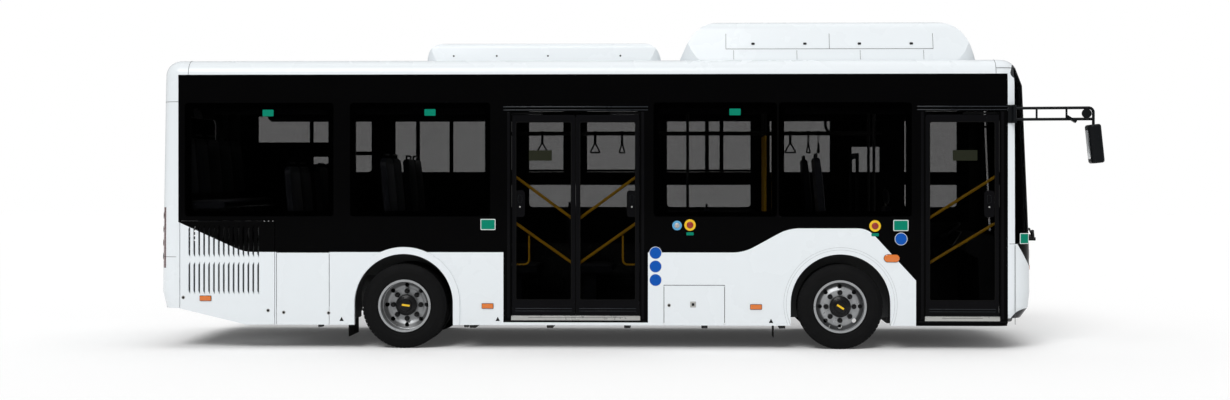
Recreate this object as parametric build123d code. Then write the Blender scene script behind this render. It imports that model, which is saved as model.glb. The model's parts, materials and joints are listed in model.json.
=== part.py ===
from build123d import *
import os
from math import asin, cos, pi, sin, sqrt

# A two-axle low-entry city bus. +X points forward, +Z up, the doors are on the -Y side.
# The origin is on the ground, under the middle of the length from rear face to mirror head.
# Every length is in millimetres.

# Overall sizes
overall_length = 9322.0
body_length = 8766.0
body_width = 2420.0
roof_height = 2850.0
rear_overhang = 2500.0
wheelbase = 4300.0
wall = 50.0
glass_thickness = 6.0
fit_gap = 0.3
run_gap = 6.0
overrun = 400.0

# Body form: heights of the sections, and how far each end is set in from its foremost point
skirt_height = 235.0
bumper_bottom = 310.0
bumper_low = 410.0
bumper_full = 560.0
belt_height = 1040.0
visor_drop = 254.0
skirt_rear_inset = 60.0
skirt_front_inset = 150.0
low_rear_inset = 36.0
low_front_inset = 16.0
belt_inset = 5.0
visor_rear_inset = 30.0
visor_front_inset = 72.0
roof_rear_inset = 38.0
roof_front_inset = 170.0
rear_corner_radius = 170.0
front_corner_radius = 230.0
rear_crown_radius = 9000.0
front_crown_radius = 6000.0
roof_edge_radius = 150.0

# Panel joints, those near the roof measured down from it
band_drop = 146.0
visor_top_drop = 85.0
rear_cap_joint = 257.0
roof_joint_setback = 115.5
pillar_rear = 1633.0
pillar_width = 70.0
rear_bumper_top = 903.0

# Livery line between the dark window band and the pale skirt, measured from the axles
livery_low = 952.0
livery_high = 1190.0
livery_tail = 1248.0
livery_tail_end = 1587.0
livery_rise_start = 945.0
livery_rise_end = 510.0
livery_drop_start = 268.0
livery_drop_end = 738.0
livery_drop_low = 679.0
livery_big_radius = 440.0
livery_small_radius = 220.0

# Skirt bottom, rising to the tail
tail_rise_start = 1572.0
tail_bottom = 395.0

# Windows: each pane's start and end are measured from the axle it is listed by
pane_low = 1300.0
pane_low_high = 1692.0
pane_drop = 418.0
pane_border = 58.0
pane_corner = 40.0
transom_low = 1604.0
transom_height = 146.0
right_panes_from_rear_axle = ((-2183.0, -692.0), (-539.0, 861.0))
right_panes_from_front_axle = ((-1839.0, -617.0), (-609.0, 701.0))
left_high_panes_from_rear_axle = ((-2160.0, -700.0), (-600.0, 900.0))
left_panes_from_rear_axle = ((960.0, 2290.0),)
left_panes_from_front_axle = ((-1790.0, -740.0), (-640.0, 700.0), (860.0, 1560.0))

# Doorways, measured from the axles
exit_door_from_rear_axle = 986.0
exit_door_width = 1426.0
entry_door_from_front_axle = 748.0
entry_door_width = 885.0
door_low = 335.0
door_head_gap = 35.0
door_jamb = 81.0
door_jamb_depth = 34.0
door_header_drop = 510.0
sill_low = 262.0
sill_face_low = 281.0
leaf_thickness = 34.0
leaf_recess = 3.0
leaf_stile = 62.0
leaf_glass_border = 37.2
leaf_glass_corner = 20.0
leaf_rail_low = 150.0
leaf_rail_high = 70.0
seam_gap = 12.0
arm_offset = 60.0
post_setback = 40.0
guide_overlap = 18.0
post_radius = 18.0
arm_width = 30.0
arm_height = 20.0
leaf_pin_grip = 21.0
leaf_pin_reach = 9.0
pin_radius = 8.0
door_rail_stand = 18.0
door_rail_hinge_ends = (1695.0, 1238.0)
door_rail_free_ends = (1285.0, 845.0)

# Wheels: sideways places are measured from the middle of a rim, outboard ones negative
tyre_radius = 419.0
tyre_width = 245.0
bead_half = 98.0
rim_radius = 248.0
flange_radius = 260.0
flange_width = 14.0
flange_clearance = 5.0
shoulder_drop = 26.0
shoulder_width = 24.0
barrel_thickness = 9.0
disc_thickness = 14.0
disc_dish = 28.0
disc_knee = 161.0
wheel_face = 1180.0
twin_spacing = 272.0
inner_disc_setback = 40.0
front_disc = -84.0
rear_disc = 67.0
hub_radius = 92.0
hub_bore = 40.0
hub_chamfer = 14.0
front_hub_proud = 50.0
front_hub_depth = 130.0
rear_hub_proud = 85.0
rear_hub_depth = 200.0
hub_cap_radius = 52.0
hub_cap_proud = 12.0
hub_cap_seat = 12.0
stud_circle_radius = 137.0
nut_radius = 17.0
nut_height = 22.0
nut_count = 8
nut_flats = 6
spacer_depth = 60.0
hand_hole_radius = 22.0
hand_hole_circle = 198.0
hand_hole_count = 8

# Wheel arches
arch_radius = 488.0
arch_centre_rise = 28.0
ring_width = 67.0
ring_proud = 12.0
wheel_box_half_length = 535.0
wheel_box_depth = 560.0
wheel_box_wall = 12.0

# Axles and steering
kingpin_offset = 900.0
kingpin_radius = 18.0
eye_radius = 40.0
eye_half_height = 60.0
ear_height = 26.0
ear_radius = 38.0
ear_reach = 30.0
web_setback = 4.0
spindle_root = 10.0
spindle_reach = 20.0
front_beam_half_width = 45.0
front_beam_neck = 20.0
front_beam_top = 24.0
front_beam_drop = 250.0
front_beam_height = 70.0
front_beam_shoulder = 70.0
front_beam_knee = 28.0
front_beam_slope = 130.0
rear_tube_radius = 70.0
rear_stub_reach = 10.0
diff_radius = 190.0
diff_half_width = 170.0

# Air springs
spring_radius = 110.0
spring_offset = 300.0
carrier_half_length = 420.0
carrier_half_width = 40.0
carrier_low = 90.0
carrier_high = 30.0

# Floor
floor_top = 300.0
floor_thickness = 30.0
platform_top = 720.0
podium_top = 1010.0
platform_from_rear_axle = 640.0
podium_from_rear_axle = 1230.0
floor_front_from_front_axle = 1700.0

# Underframe
rail_half_gap = 430.0
rail_width = 70.0
rail_height = 72.0
cross_width = 60.0
cross_count = 5
tow_reach = 90.0
tow_radius = 50.0
tow_thickness = 30.0
tow_bore = 20.0

# Engine
engine_length = 1000.0
engine_width = 720.0
engine_height = 560.0
engine_tail_gap = 225.0

# Roof pods: the foot of each end leans in by the lean while it rises by the rise
ac_length = 2372.0
ac_tail_from_rear_axle = 164.0
ac_rise = 190.0
ac_width = 1760.0
ac_end = 190.0
ac_lean = 30.0
ac_draft = 45.0
ac_shoulder = 60.0
ac_corner = 150.0
fairing_length = 2985.0
fairing_nose_from_front_axle = 1397.0
fairing_rise = 400.0
fairing_width = 1900.0
fairing_end = 420.0
fairing_lean = 200.0
fairing_draft = 130.0
fairing_shoulder = 120.0
fairing_corner = 260.0

# Flaps
flap_thickness = 24.0
flap_gap = 6.0
flap_barrel = 6.0
flap_pin_radius = 3.5
flap_pin_length = 16.0
grille_top = 1262.0
grille_split = 952.0
flap_strip = 12.0
service_split = 749.0
filler_flap_rear = 1734.0
filler_flap_length = 602.0
filler_flap_top = 633.0

# Grille slots
slot_count = 15
slot_pitch = 49.0
slot_width = 19.0
slot_first = 88.0
slot_low_bottom = 531.0
slot_low_top = 858.0
slot_high_bottom = 897.0
slot_high_top = 1215.0
slot_skew = 34.0

# Seats
seat_width = 440.0
seat_depth = 430.0
seat_cushion = 70.0
seat_rise = 440.0
back_height = 640.0
back_thickness = 60.0
back_lean = 60.0
seat_edge_radius = 24.0
seat_shoulder_radius = 90.0
seat_leg_rear = 129.0
seat_leg_front = 258.0
seat_leg_half_width = 132.0
seat_wall_gap = 30.0
seat_gap = 16.0
box_seat_rise = 250.0
box_seat_setback = 193.5
podium_row_back = 1000.0
platform_row_back = 1150.0
left_rows_from_rear_axle = (760.0, 1560.0, 2360.0)
right_row_back = 1280.0
driver_from_wall = 520.0
driver_from_axle = 680.0

# Driver's place
dash_from_front_axle = 1330.0
dash_depth = 360.0
dash_top = 780.0
dash_hood_rise = 40.0
dash_hood = 120.0
dash_lip = 640.0
dash_knee = 560.0
dash_knee_setback = 150.0
dash_foot_setback = 170.0
dash_right_end = 380.0
dash_wall_gap = 60.0
steering_radius = 215.0
steering_rim_radius = 16.0
steering_setback = 60.0
steering_rise = 760.0
steering_column_radius = 30.0
steering_column_rise = 520.0
steering_spoke_width = 60.0
partition_from_front_axle = 300.0
partition_thickness = 30.0
partition_inner_end = 330.0
partition_height = 1650.0
partition_window_low = 900.0
partition_frame = 60.0

# Grab rails
handrail_radius = 15.0
rail_drop = 700.0
open_side_rail = 330.0
rail_start_from_rear_axle = 800.0
rail_end_from_front_axle = 500.0
poles_from_rear_axle = (900.0, 2800.0)
poles_from_front_axle = (-700.0, 420.0)

# Mirrors
mirror_arm_radius = 14.0
mirror_arm_drop = 485.0
mirror_arm_spacing = 109.0
mirror_bend_radius = 45.0
mirror_head_height = 376.0
mirror_head_drop = 643.0
mirror_head_depth = 128.0
mirror_head_width = 210.0
mirror_head_round = 46.0
mirror_head_edge = 24.0
mirror_glass_inset = 14.0
mirror_glass_depth = 5.0
mirror_neck = 30.0
mirror_head_reach = 1465.0
mirror_left_short = 300.0
mirror_base_forward = 25.0
mirror_base_reach = 34.0
mirror_tube_radius = 19.0
mirror_rung_radius = 10.0
mirror_plate = 10.0
mirror_ear = 14.0
mirror_disc_radius = 46.0
mirror_disc_thickness = 26.0
mirror_disc_setback = 62.0
mirror_wing = (104.0, 60.0, 24.0)
mirror_wing_setback = 205.0
mirror_rung_shares = (0.28, 0.66)
mirror_lean_angle = 6.0
mirror_wing_angle = 32.0

# Lamps
tail_lamp_low = 792.0
tail_lamp_high = 1395.0
tail_lamp_depth = 26.0
tail_lamp_reach = 122.0
tail_lamp_width = 204.0
head_lamp_low = 690.0
head_lamp_drop = 14.0
head_lamp_depth = 24.0
head_lamp_width = 420.0
head_lamp_rear = 212.0
head_lamp_foot = 85.0

# Windscreen, bumper intake and wipers
screen_post = 126.5
intake_half_width = 430.0
intake_low = 430.0
intake_slot = 22.0
intake_pitch = 44.0
intake_count = 3
wiper_boss_radius = 17.0
wiper_boss_reach = 70.0
wiper_arm_radius = 9.0
wiper_arm_lift = 46.0
wiper_blade_radius = 7.0
wiper_blade_lift = 16.0
wiper_blade_half = 370.0
wiper_pivot_height = 1078.0
wiper_blade_height = 1168.0
wiper_reach = 420.0
wiper_pivots = (-900.0, 20.0)

# Mud flaps
mud_low = 115.0
mud_high = 360.0
mud_thickness = 10.0
mud_width = 480.0
front_mud_width = 240.0
front_mud_from_axle = 650.0

# Rear window and engine door
rear_window_low = 1560.0
rear_window_drop = 470.0
rear_window_half = 860.0
rear_window_corner = 80.0
engine_door_low = 930.0
engine_door_high = 1470.0
engine_door_half = 820.0
door_barrel_half = 200.0
door_top_gap = 12.0
door_lug = 20.0
louvre_count = 6
louvre_height = 16.0
louvre_pitch = 48.0
louvre_low = 1010.0
louvre_half_length = 560.0
louvre_rib = 60.0

# Heights
band_top = roof_height - band_drop
visor_height = roof_height - visor_drop
visor_top = roof_height - visor_top_drop
pane_high = roof_height - pane_drop
door_header = roof_height - door_header_drop
door_high = door_header - door_head_gap
rear_window_high = roof_height - rear_window_drop
rail_height_high = roof_height - rail_drop
mirror_arm_upper = roof_height - mirror_arm_drop
mirror_arm_lower = mirror_arm_upper - mirror_arm_spacing
mirror_head_top = roof_height - mirror_head_drop
ceiling = roof_height - wall
axle_height = tyre_radius

# Places along and across the bus
x_rear = -overall_length / 2
x_front = x_rear + body_length
x_mirror = overall_length / 2
x_ra = x_rear + rear_overhang
x_fa = x_ra + wheelbase
x_rear_cap = x_rear + rear_cap_joint
x_pillar = x_fa + pillar_rear
x_visor = x_pillar + pillar_width
x_front_cap = x_pillar - roof_joint_setback
half_width = body_width / 2
inner_half = half_width - wall
wheel_y = wheel_face - tyre_width / 2
exit_x0 = x_ra + exit_door_from_rear_axle
exit_x1 = exit_x0 + exit_door_width
entry_x0 = x_fa + entry_door_from_front_axle
entry_x1 = entry_x0 + entry_door_width
far = overall_length
nodes = {}


def block(x0, x1, y0, y1, z0, z1):
    """A box between two corners."""
    return Pos((x0 + x1) / 2, (y0 + y1) / 2, (z0 + z1) / 2) * Box(x1 - x0, y1 - y0, z1 - z0)


def prism_xz(outline, y0, y1):
    """An outline drawn in the side view, made solid from y0 to y1."""
    face = Plane.XZ.offset(-y1) * make_face(outline)
    return extrude(face, amount=y1 - y0)


def rod(start, end, radius):
    """A round bar between two points."""
    a, b = Vector(*start), Vector(*end)
    plane = Plane(origin=a, z_dir=b - a)
    return extrude(plane * Circle(radius), amount=(b - a).length)


def mirrored(shape):
    """The same piece on the other side of the bus."""
    return mirror(shape, about=Plane.XZ)


def plan_outline(inset, rear_inset, front_inset):
    """The bus seen from above at one height: crowned ends joined to flat sides by round corners."""
    half = half_width - inset

    def end(x_end, sign, crown, corner):
        centre = x_end - sign * crown
        start = centre + sign * sqrt((crown - corner) ** 2 - (half - corner) ** 2)
        turn = asin((half - corner) / (crown - corner))
        tip = (centre + sign * crown * cos(turn), crown * sin(turn))
        middle = (pi / 2 + turn) / 2
        bulge = (start + sign * corner * cos(middle), half - corner + corner * sin(middle))
        return start, tip, bulge

    nose = x_front - inset - front_inset
    tail = x_rear + inset + rear_inset
    fx, ft, fb = end(nose, 1, front_crown_radius - inset, front_corner_radius - inset)
    rx, rt, rb = end(tail, -1, rear_crown_radius - inset, rear_corner_radius - inset)
    edges = [
        ThreePointArc((ft[0], -ft[1]), (nose, 0), ft),
        ThreePointArc(ft, fb, (fx, half)),
        Line((fx, half), (rx, half)),
        ThreePointArc((rx, half), rb, rt),
        ThreePointArc(rt, (tail, 0), (rt[0], -rt[1])),
        ThreePointArc((rt[0], -rt[1]), (rb[0], -rb[1]), (rx, -half)),
        Line((rx, -half), (fx, -half)),
        ThreePointArc((fx, -half), (fb[0], -fb[1]), (ft[0], -ft[1])),
    ]
    return make_face(Wire(edges))


def body_form(inset):
    """The whole body as one solid, its surface set in by the given amount."""
    sections = [  # height, rear inset, front inset
        (skirt_height, skirt_rear_inset, skirt_front_inset),
        (bumper_low, low_rear_inset, low_front_inset),
        (bumper_full, 0, 0),
        (belt_height, belt_inset, belt_inset),
        (visor_height, visor_rear_inset, visor_front_inset),
        (roof_height - inset, roof_rear_inset, roof_front_inset),
    ]
    faces = [Plane.XY.offset(z) * plan_outline(inset, r, f) for z, r, f in sections]
    solid = loft(faces, ruled=True)
    return fillet(solid.faces().sort_by(Axis.Z)[-1].edges(), roof_edge_radius - inset)


outer = body_form(0)
glass_back = body_form(glass_thickness)
glass_seat = body_form(glass_thickness + fit_gap)
cavity = body_form(wall)
shell = outer - cavity


def side_cut(x0, x1, z0, z1, radius, y0, y1):
    """A rounded rectangle pushed through the side from y0 to y1."""
    face = Pos((x0 + x1) / 2, (z0 + z1) / 2) * RectangleRounded(x1 - x0, z1 - z0, radius)
    return extrude(Plane.XZ.offset(-y1) * face, amount=y1 - y0)


def end_cut(y0, y1, z0, z1, radius, x0, x1):
    """A rounded rectangle pushed through an end of the bus from x0 to x1."""
    face = Pos((y0 + y1) / 2, (z0 + z1) / 2) * RectangleRounded(y1 - y0, z1 - z0, radius)
    return extrude(Plane.YZ.offset(x0) * face, amount=x1 - x0)


def livery_outline(with_doors):
    """Everything under the livery line, down to the skirt's edge."""
    tail_x = x_rear_cap
    nose_x = x_fa + livery_drop_end if with_doors else x_pillar
    top = [(tail_x, livery_tail), (x_ra - livery_tail_end, livery_low)]
    top += [(x_fa - livery_rise_start, livery_low), (x_fa - livery_rise_end, livery_high)]
    radii = [livery_big_radius, livery_big_radius, livery_big_radius]
    if with_doors:
        top += [(x_fa + livery_drop_start, livery_high), (nose_x, livery_drop_low)]
        radii += [livery_small_radius]
    else:
        top += [(nose_x, livery_high)]
    line = FilletPolyline(*top, radius=radii)
    rest = Polyline(
        top[-1], (nose_x, skirt_height), (x_ra - tail_rise_start, skirt_height),
        (tail_x, tail_bottom), top[0],
    )
    return Wire([*line.edges(), *rest.edges()])


def arch_cut(x, radius, y0, y1):
    """A wheel arch: a half circle over straight sides."""
    centre = axle_height + arch_centre_rise
    round_top = Plane.XZ.offset(-y1) * Pos(x, centre) * Circle(radius)
    tunnel = extrude(round_top, amount=y1 - y0) & block(x - radius, x + radius, y0, y1, 0, far)
    return tunnel + block(x - radius, x + radius, y0, y1, 0, centre)


def placed(axle, ends, low):
    """Panes listed by an axle, as their two ends along the bus and their lower edge."""
    return [(axle + start, axle + end, low) for start, end in ends]


right_panes = placed(x_ra, right_panes_from_rear_axle, pane_low)
right_panes += placed(x_fa, right_panes_from_front_axle, pane_low)
left_panes = placed(x_ra, left_high_panes_from_rear_axle, pane_low_high)
left_panes += placed(x_ra, left_panes_from_rear_axle, pane_low)
left_panes += placed(x_fa, left_panes_from_front_axle, pane_low)


def sill(x0, x1, gap):
    """The tread edge between the jambs of a doorway, grown by a gap."""
    return block(x0 + door_jamb - gap, x1 - door_jamb + gap, -half_width - gap,
                 -half_width + door_jamb_depth + gap, sill_face_low - gap, door_low - run_gap)


def side_wall(panes, with_doors, transom):
    """One side, built on the -Y side: window band, skirt and panes."""
    region = block(x_rear_cap, x_pillar, -half_width - overrun, -inner_half + wall, 0, band_top)
    side = shell & region
    skirt_zone = prism_xz(livery_outline(with_doors), -half_width - overrun, -inner_half + wall)
    upper_zone = block(x_rear_cap, x_pillar, -far, 0, skirt_height, far)
    below_tail = Polyline(
        (x_rear_cap, 0), (x_rear_cap, tail_bottom), (x_ra - tail_rise_start, skirt_height),
        (x_ra - tail_rise_start, 0), close=True,
    )
    upper = (side & upper_zone) - skirt_zone - prism_xz(below_tail, -far, 0)
    lower = side & skirt_zone
    glass = []
    for x0, x1, low in panes:
        glass_back_y = -half_width + glass_thickness + fit_gap
        rebate = side_cut(x0, x1, low, pane_high, pane_corner, -half_width - overrun, glass_back_y)
        hole = side_cut(x0 + pane_border, x1 - pane_border, low + pane_border,
                        pane_high - pane_border, pane_corner, -half_width - overrun, -inner_half + wall)
        if transom and low < transom_low:
            hole = hole - block(x0, x1, glass_back_y, 0, transom_low, transom_low + transom_height)
        upper = upper - rebate - hole
        pane = side_cut(x0 + fit_gap, x1 - fit_gap, low + fit_gap, pane_high - fit_gap,
                        pane_corner, -half_width, -half_width + glass_thickness)
        glass.append(pane)
    for x, ring in ((x_ra, True), (x_fa, False)):
        hole = arch_cut(x, arch_radius, -far, 0)
        upper = upper - hole
        if ring:
            disc = arch_cut(x, arch_radius + ring_width, -half_width - ring_proud, -half_width + wall)
            band = disc - block(x_rear, x_front, -far, 0, 0, skirt_height)
            upper = upper - band
            lower = lower + band
        lower = lower - hole
    if with_doors:
        for x0, x1 in ((exit_x0, exit_x1), (entry_x0, entry_x1)):
            hole = block(x0, x1, -far, 0, sill_low, door_header)
            upper = upper - hole
            lower = lower - hole
            frame = block(x0, x1, -half_width, -half_width + door_jamb_depth, sill_low, door_header)
            way = block(x0 + door_jamb, x1 - door_jamb, -far, 0, door_low - run_gap, door_header + wall)
            upper = upper + (frame - way - sill(x0, x1, fit_gap))
    return upper, lower, glass


upper_right, lower_right, glass_right = side_wall(right_panes, True, False)
upper_left, lower_left, glass_left = side_wall(left_panes, False, True)


def flap(x0, x1, top, bottom_cut):
    """A top-hinged flap in the skirt, with its barrel and pin stubs. Gives flap, opening and axis."""
    axis_y = -half_width + flap_barrel + fit_gap
    axis_z = top - flap_gap - flap_barrel
    a, b = x0 + flap_gap, x1 - flap_gap
    panel = block(a, b, -half_width, -half_width + flap_thickness, 0, axis_z)
    barrel = rod((a, axis_y, axis_z), (b, axis_y, axis_z), flap_barrel)
    pins = rod((a - flap_pin_length, axis_y, axis_z), (b + flap_pin_length, axis_y, axis_z),
               flap_pin_radius)
    leaf = (panel + barrel) & bottom_cut
    leaf = leaf + pins
    hole = block(x0, x1, -far, -inner_half + wall, 0, top)
    socket_reach = flap_pin_length + fit_gap
    socket = rod((a - socket_reach, axis_y, axis_z), (b + socket_reach, axis_y, axis_z),
                 flap_pin_radius + fit_gap)
    return leaf, hole + socket, (x0, axis_y, axis_z)


side_outline = prism_xz(
    Polyline(
        (x_rear_cap, tail_bottom), (x_ra - tail_rise_start, skirt_height), (x_pillar, skirt_height),
        (x_pillar, band_top), (x_rear_cap, band_top), close=True,
    ), -half_width - overrun, 0)

grille_x0 = x_rear_cap + flap_strip
grille_x1 = x_rear_cap + grille_split + flap_strip
service_x1 = x_ra - service_split + flap_strip
flap_table = [  # name, start, end, top, on which side
    ("grille_flap", grille_x0, grille_x1, grille_top, ("right", "left")),
    ("service_flap", grille_x1 + flap_strip, service_x1, livery_low, ("right",)),
    ("filler_flap", x_fa - filler_flap_rear, x_fa - filler_flap_rear + filler_flap_length,
     filler_flap_top, ("right",)),
]
flap_axes = {}
for name, x0, x1, top, sides in flap_table:
    leaf, hole, axis = flap(x0, x1, top, side_outline)
    if name == "grille_flap":
        slots = []
        for i in range(slot_count):
            x = x0 + slot_first + i * slot_pitch
            for z0, z1 in ((slot_low_bottom, slot_low_top), (slot_high_bottom, slot_high_top)):
                shape = Polyline((x, z0 + slot_skew), (x + slot_width, z0), (x + slot_width, z1),
                                 (x, z1 - slot_skew), close=True)
                slots.append(prism_xz(shape, -far, 0))
        leaf = leaf - slots
    for side in sides:
        nodes[f"{name}_{side}"] = leaf if side == "right" else mirrored(leaf)
        flap_axes[f"{name}_{side}"] = axis
    if "right" in sides:
        upper_right = upper_right - hole
        lower_right = lower_right - hole
    if "left" in sides:
        upper_left = upper_left - hole
        lower_left = lower_left - hole

nodes["side_right_upper"] = upper_right
nodes["side_right_lower"] = lower_right
nodes["side_left_upper"] = mirrored(upper_left)
nodes["side_left_lower"] = mirrored(lower_left)
nodes["side_glass_right"] = Compound(glass_right)
nodes["side_glass_left"] = Compound([mirrored(g) for g in glass_left])

# Roof, end caps and bumpers
nodes["roof"] = shell & block(x_rear_cap, x_front_cap, -far, far, band_top, far)
front_zone = block(x_pillar, far, -far, far, 0, far) + block(x_front_cap, far, -far, far, band_top, far)
front = shell & front_zone
screen_zone = block(x_visor, far, -far, far, belt_height, visor_top)
screen = (outer - glass_back) & screen_zone
screen_seat = (outer - glass_seat) & screen_zone
opening_half = half_width - screen_post
screen_hole = block(x_visor, far, -opening_half, opening_half, belt_height + pane_border,
                    visor_height - pane_border)
nodes["windscreen"] = Compound([
    screen & block(x_visor, far, -far, far, low + fit_gap, high - fit_gap)
    for low, high in ((belt_height, visor_height), (visor_height, visor_top))])
front = front - screen_seat - screen_hole
nodes["front_cap"] = front & block(x_front_cap, far, -far, far, belt_height, far)

# Head lamps wrap round the corners, wide at the belt and narrow at the foot
lamp_view = Polyline(
    (x_front - head_lamp_rear, belt_height - head_lamp_drop), (x_front, belt_height - head_lamp_drop),
    (x_front, head_lamp_low), (x_front - head_lamp_foot, head_lamp_low), close=True)
lamp = (outer - body_form(head_lamp_depth)) & prism_xz(lamp_view, half_width - head_lamp_width, half_width)
nodes["head_lamps"] = Compound([lamp, mirrored(lamp)])
bumper = front & block(x_pillar, far, -far, far, bumper_bottom, belt_height)
bumper = bumper - lamp - mirrored(lamp)
for i in range(intake_count):
    z = intake_low + i * intake_pitch
    bumper = bumper - end_cut(-intake_half_width, intake_half_width, z, z + intake_slot,
                              intake_slot / 2 - fit_gap, x_visor, far)
nodes["front_bumper"] = bumper

rear = shell & block(-far, x_rear_cap, -far, far, 0, far)
tail_skin = outer - body_form(tail_lamp_depth)
tail_zone = block(-far, x_rear + tail_lamp_reach, half_width - tail_lamp_width, far,
                  tail_lamp_low, tail_lamp_high)
tail = tail_skin & tail_zone
nodes["tail_lamps"] = Compound([tail, mirrored(tail)])
rear = rear - tail - mirrored(tail)

window = end_cut(-rear_window_half, rear_window_half, rear_window_low, rear_window_high, rear_window_corner,
                 -far, x_rear_cap)
inner_window = end_cut(-rear_window_half + pane_border, rear_window_half - pane_border,
                       rear_window_low + pane_border, rear_window_high - pane_border, rear_window_corner,
                       -far, x_rear_cap)
rear = rear - ((outer - glass_seat) & window) - inner_window
glass_zone = end_cut(-rear_window_half + fit_gap, rear_window_half - fit_gap, rear_window_low + fit_gap,
                     rear_window_high - fit_gap, rear_window_corner, -far, x_rear_cap)
nodes["rear_glass"] = (outer - glass_back) & glass_zone

# Engine door in the rear wall, hung from a barrel at the middle of its top edge
sag = rear_crown_radius - sqrt(rear_crown_radius ** 2 - door_barrel_half ** 2)
lean_share = (engine_door_high - belt_height) / (visor_height - belt_height)
door_surface = x_rear + belt_inset + (visor_rear_inset - belt_inset) * lean_share
door_axis = (door_surface + sag + flap_barrel, engine_door_high - door_top_gap - flap_barrel)
door_hole = block(-far, x_rear_cap, -engine_door_half, engine_door_half, engine_door_low, engine_door_high)
door_zone = block(-far, x_rear_cap, -engine_door_half + flap_gap, engine_door_half - flap_gap,
                  engine_door_low + flap_gap, door_axis[1])
lug_y0, lug_y1 = door_barrel_half + fit_gap, door_barrel_half + fit_gap + door_lug
engine_door = (outer - body_form(flap_thickness)) & door_zone
barrel = rod((door_axis[0], -door_barrel_half, door_axis[1]), (door_axis[0], door_barrel_half, door_axis[1]),
             flap_barrel)
stub = rod((door_axis[0], -lug_y1, door_axis[1]), (door_axis[0], lug_y1, door_axis[1]), flap_pin_radius)
lug = block(door_surface + sag, door_axis[0] + flap_barrel, lug_y0, lug_y1 + flap_barrel,
            door_axis[1] - flap_barrel, engine_door_high + flap_barrel)
lug_room = block(-far, x_rear_cap, lug_y0 - fit_gap, lug_y1 + flap_barrel + run_gap,
                 door_axis[1] - flap_barrel - run_gap, engine_door_high)
engine_door = engine_door - lug_room - mirrored(lug_room)
for i in range(louvre_count):
    z = louvre_low + i * louvre_pitch
    for y0, y1 in ((-louvre_half_length, -louvre_rib / 2), (louvre_rib / 2, louvre_half_length)):
        engine_door = engine_door - block(-far, x_rear_cap, y0, y1, z, z + louvre_height)
nodes["engine_door"] = engine_door + barrel + stub
rear = rear - door_hole
bore = rod((door_axis[0], -far, door_axis[1]), (door_axis[0], far, door_axis[1]), flap_pin_radius + fit_gap)
rear = rear + ((lug + mirrored(lug)) - bore)
nodes["rear_cap"] = rear & block(-far, x_rear_cap, -far, far, rear_bumper_top, far)
nodes["rear_bumper"] = rear & block(-far, x_rear_cap, -far, far, tail_bottom, rear_bumper_top)



# Roof pods: curved ends and round shoulders, resting on the roof
def pod(x0, x1, width, rise, end, lean, draft, shoulder, corner):
    """A roof pod, as what its side view, its front view and its plan have in common."""
    z0, z1, half = roof_height, roof_height + rise, width / 2
    tail = Spline((x0, z0), (x0 + end, z1), tangents=[(lean, rise), (end, 0)])
    nose = Spline((x1 - end, z1), (x1, z0), tangents=[(end, 0), (lean, -rise)])
    side = Wire([*tail.edges(), Line(tail @ 1, nose @ 0), *nose.edges(), Line(nose @ 1, tail @ 0)])
    front = make_face(Polyline((-half, 0), (-half + draft, rise), (half - draft, rise), (half, 0),
                               close=True))
    front = fillet(front.vertices().group_by(Axis.Y)[-1], shoulder)
    across = extrude(Plane.YZ.offset(x0) * Pos(0, roof_height) * front, amount=x1 - x0)
    plan = Plane.XY.offset(z0) * Pos((x0 + x1) / 2, 0) * RectangleRounded(x1 - x0, width, corner)
    return prism_xz(side, -half, half) & across & extrude(plan, amount=rise)


ac_x0 = x_ra + ac_tail_from_rear_axle
nodes["air_conditioner"] = pod(ac_x0, ac_x0 + ac_length, ac_width, ac_rise, ac_end, ac_lean, ac_draft,
                               ac_shoulder, ac_corner)
fairing_x1 = x_fa + fairing_nose_from_front_axle
nodes["gas_fairing"] = pod(fairing_x1 - fairing_length, fairing_x1, fairing_width, fairing_rise, fairing_end,
                           fairing_lean, fairing_draft, fairing_shoulder, fairing_corner)

# Floor: low in front, stepped up over the rear axle and again over the engine
x_step = x_ra + platform_from_rear_axle
x_podium = x_ra - podium_from_rear_axle
x_floor_front = x_fa + floor_front_from_front_axle
t = floor_thickness
floor_half = inner_half - fit_gap
low_floor = block(x_step + fit_gap, x_floor_front, -floor_half, floor_half, floor_top - t, floor_top)
platform = prism_xz(Polyline(
    (x_step, floor_top - t), (x_step, platform_top), (x_podium + fit_gap, platform_top),
    (x_podium + fit_gap, platform_top - t), (x_step - t, platform_top - t), (x_step - t, floor_top - t),
    close=True), -floor_half, floor_half)
podium = prism_xz(Polyline(
    (x_podium, platform_top - t), (x_podium, podium_top), (x_rear, podium_top),
    (x_rear, podium_top - t), (x_podium - t, podium_top - t), (x_podium - t, platform_top - t),
    close=True), -floor_half, floor_half)
wheel_boxes = []
for x in (x_ra, x_fa):
    y0, y1 = -floor_half, -inner_half + wheel_box_depth
    bay = arch_cut(x, wheel_box_half_length, y0 - overrun, y1)
    box = arch_cut(x, wheel_box_half_length + wheel_box_wall, y0, y1 + wheel_box_wall)
    room = arch_cut(x, wheel_box_half_length + wheel_box_wall + fit_gap, y0 - overrun,
                    y1 + wheel_box_wall + fit_gap)
    inner_wall = block(x_rear, x_front, y1, far, 0, (platform_top if x == x_ra else floor_top) - t)
    box = box - bay - block(x_rear, x_front, -far, far, 0, floor_top - t) - inner_wall
    wheel_boxes += [box, mirrored(box)]
    front_box_room = room
    low_floor = low_floor - room - mirrored(room)
    platform = platform - room - mirrored(room)
body_room = body_form(wall + fit_gap)
low_floor = low_floor & body_room
for x0, x1 in ((exit_x0, exit_x1), (entry_x0, entry_x1)):
    low_floor = low_floor + block(x0 + door_jamb, x1 - door_jamb, -half_width + door_jamb_depth + fit_gap,
                                  -inner_half + wall, floor_top - t, floor_top)
podium = podium & body_room
sills = [sill(exit_x0, exit_x1, 0), sill(entry_x0, entry_x1, 0)]
nodes["floor"] = Compound([low_floor, platform, podium, *sills])
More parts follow.
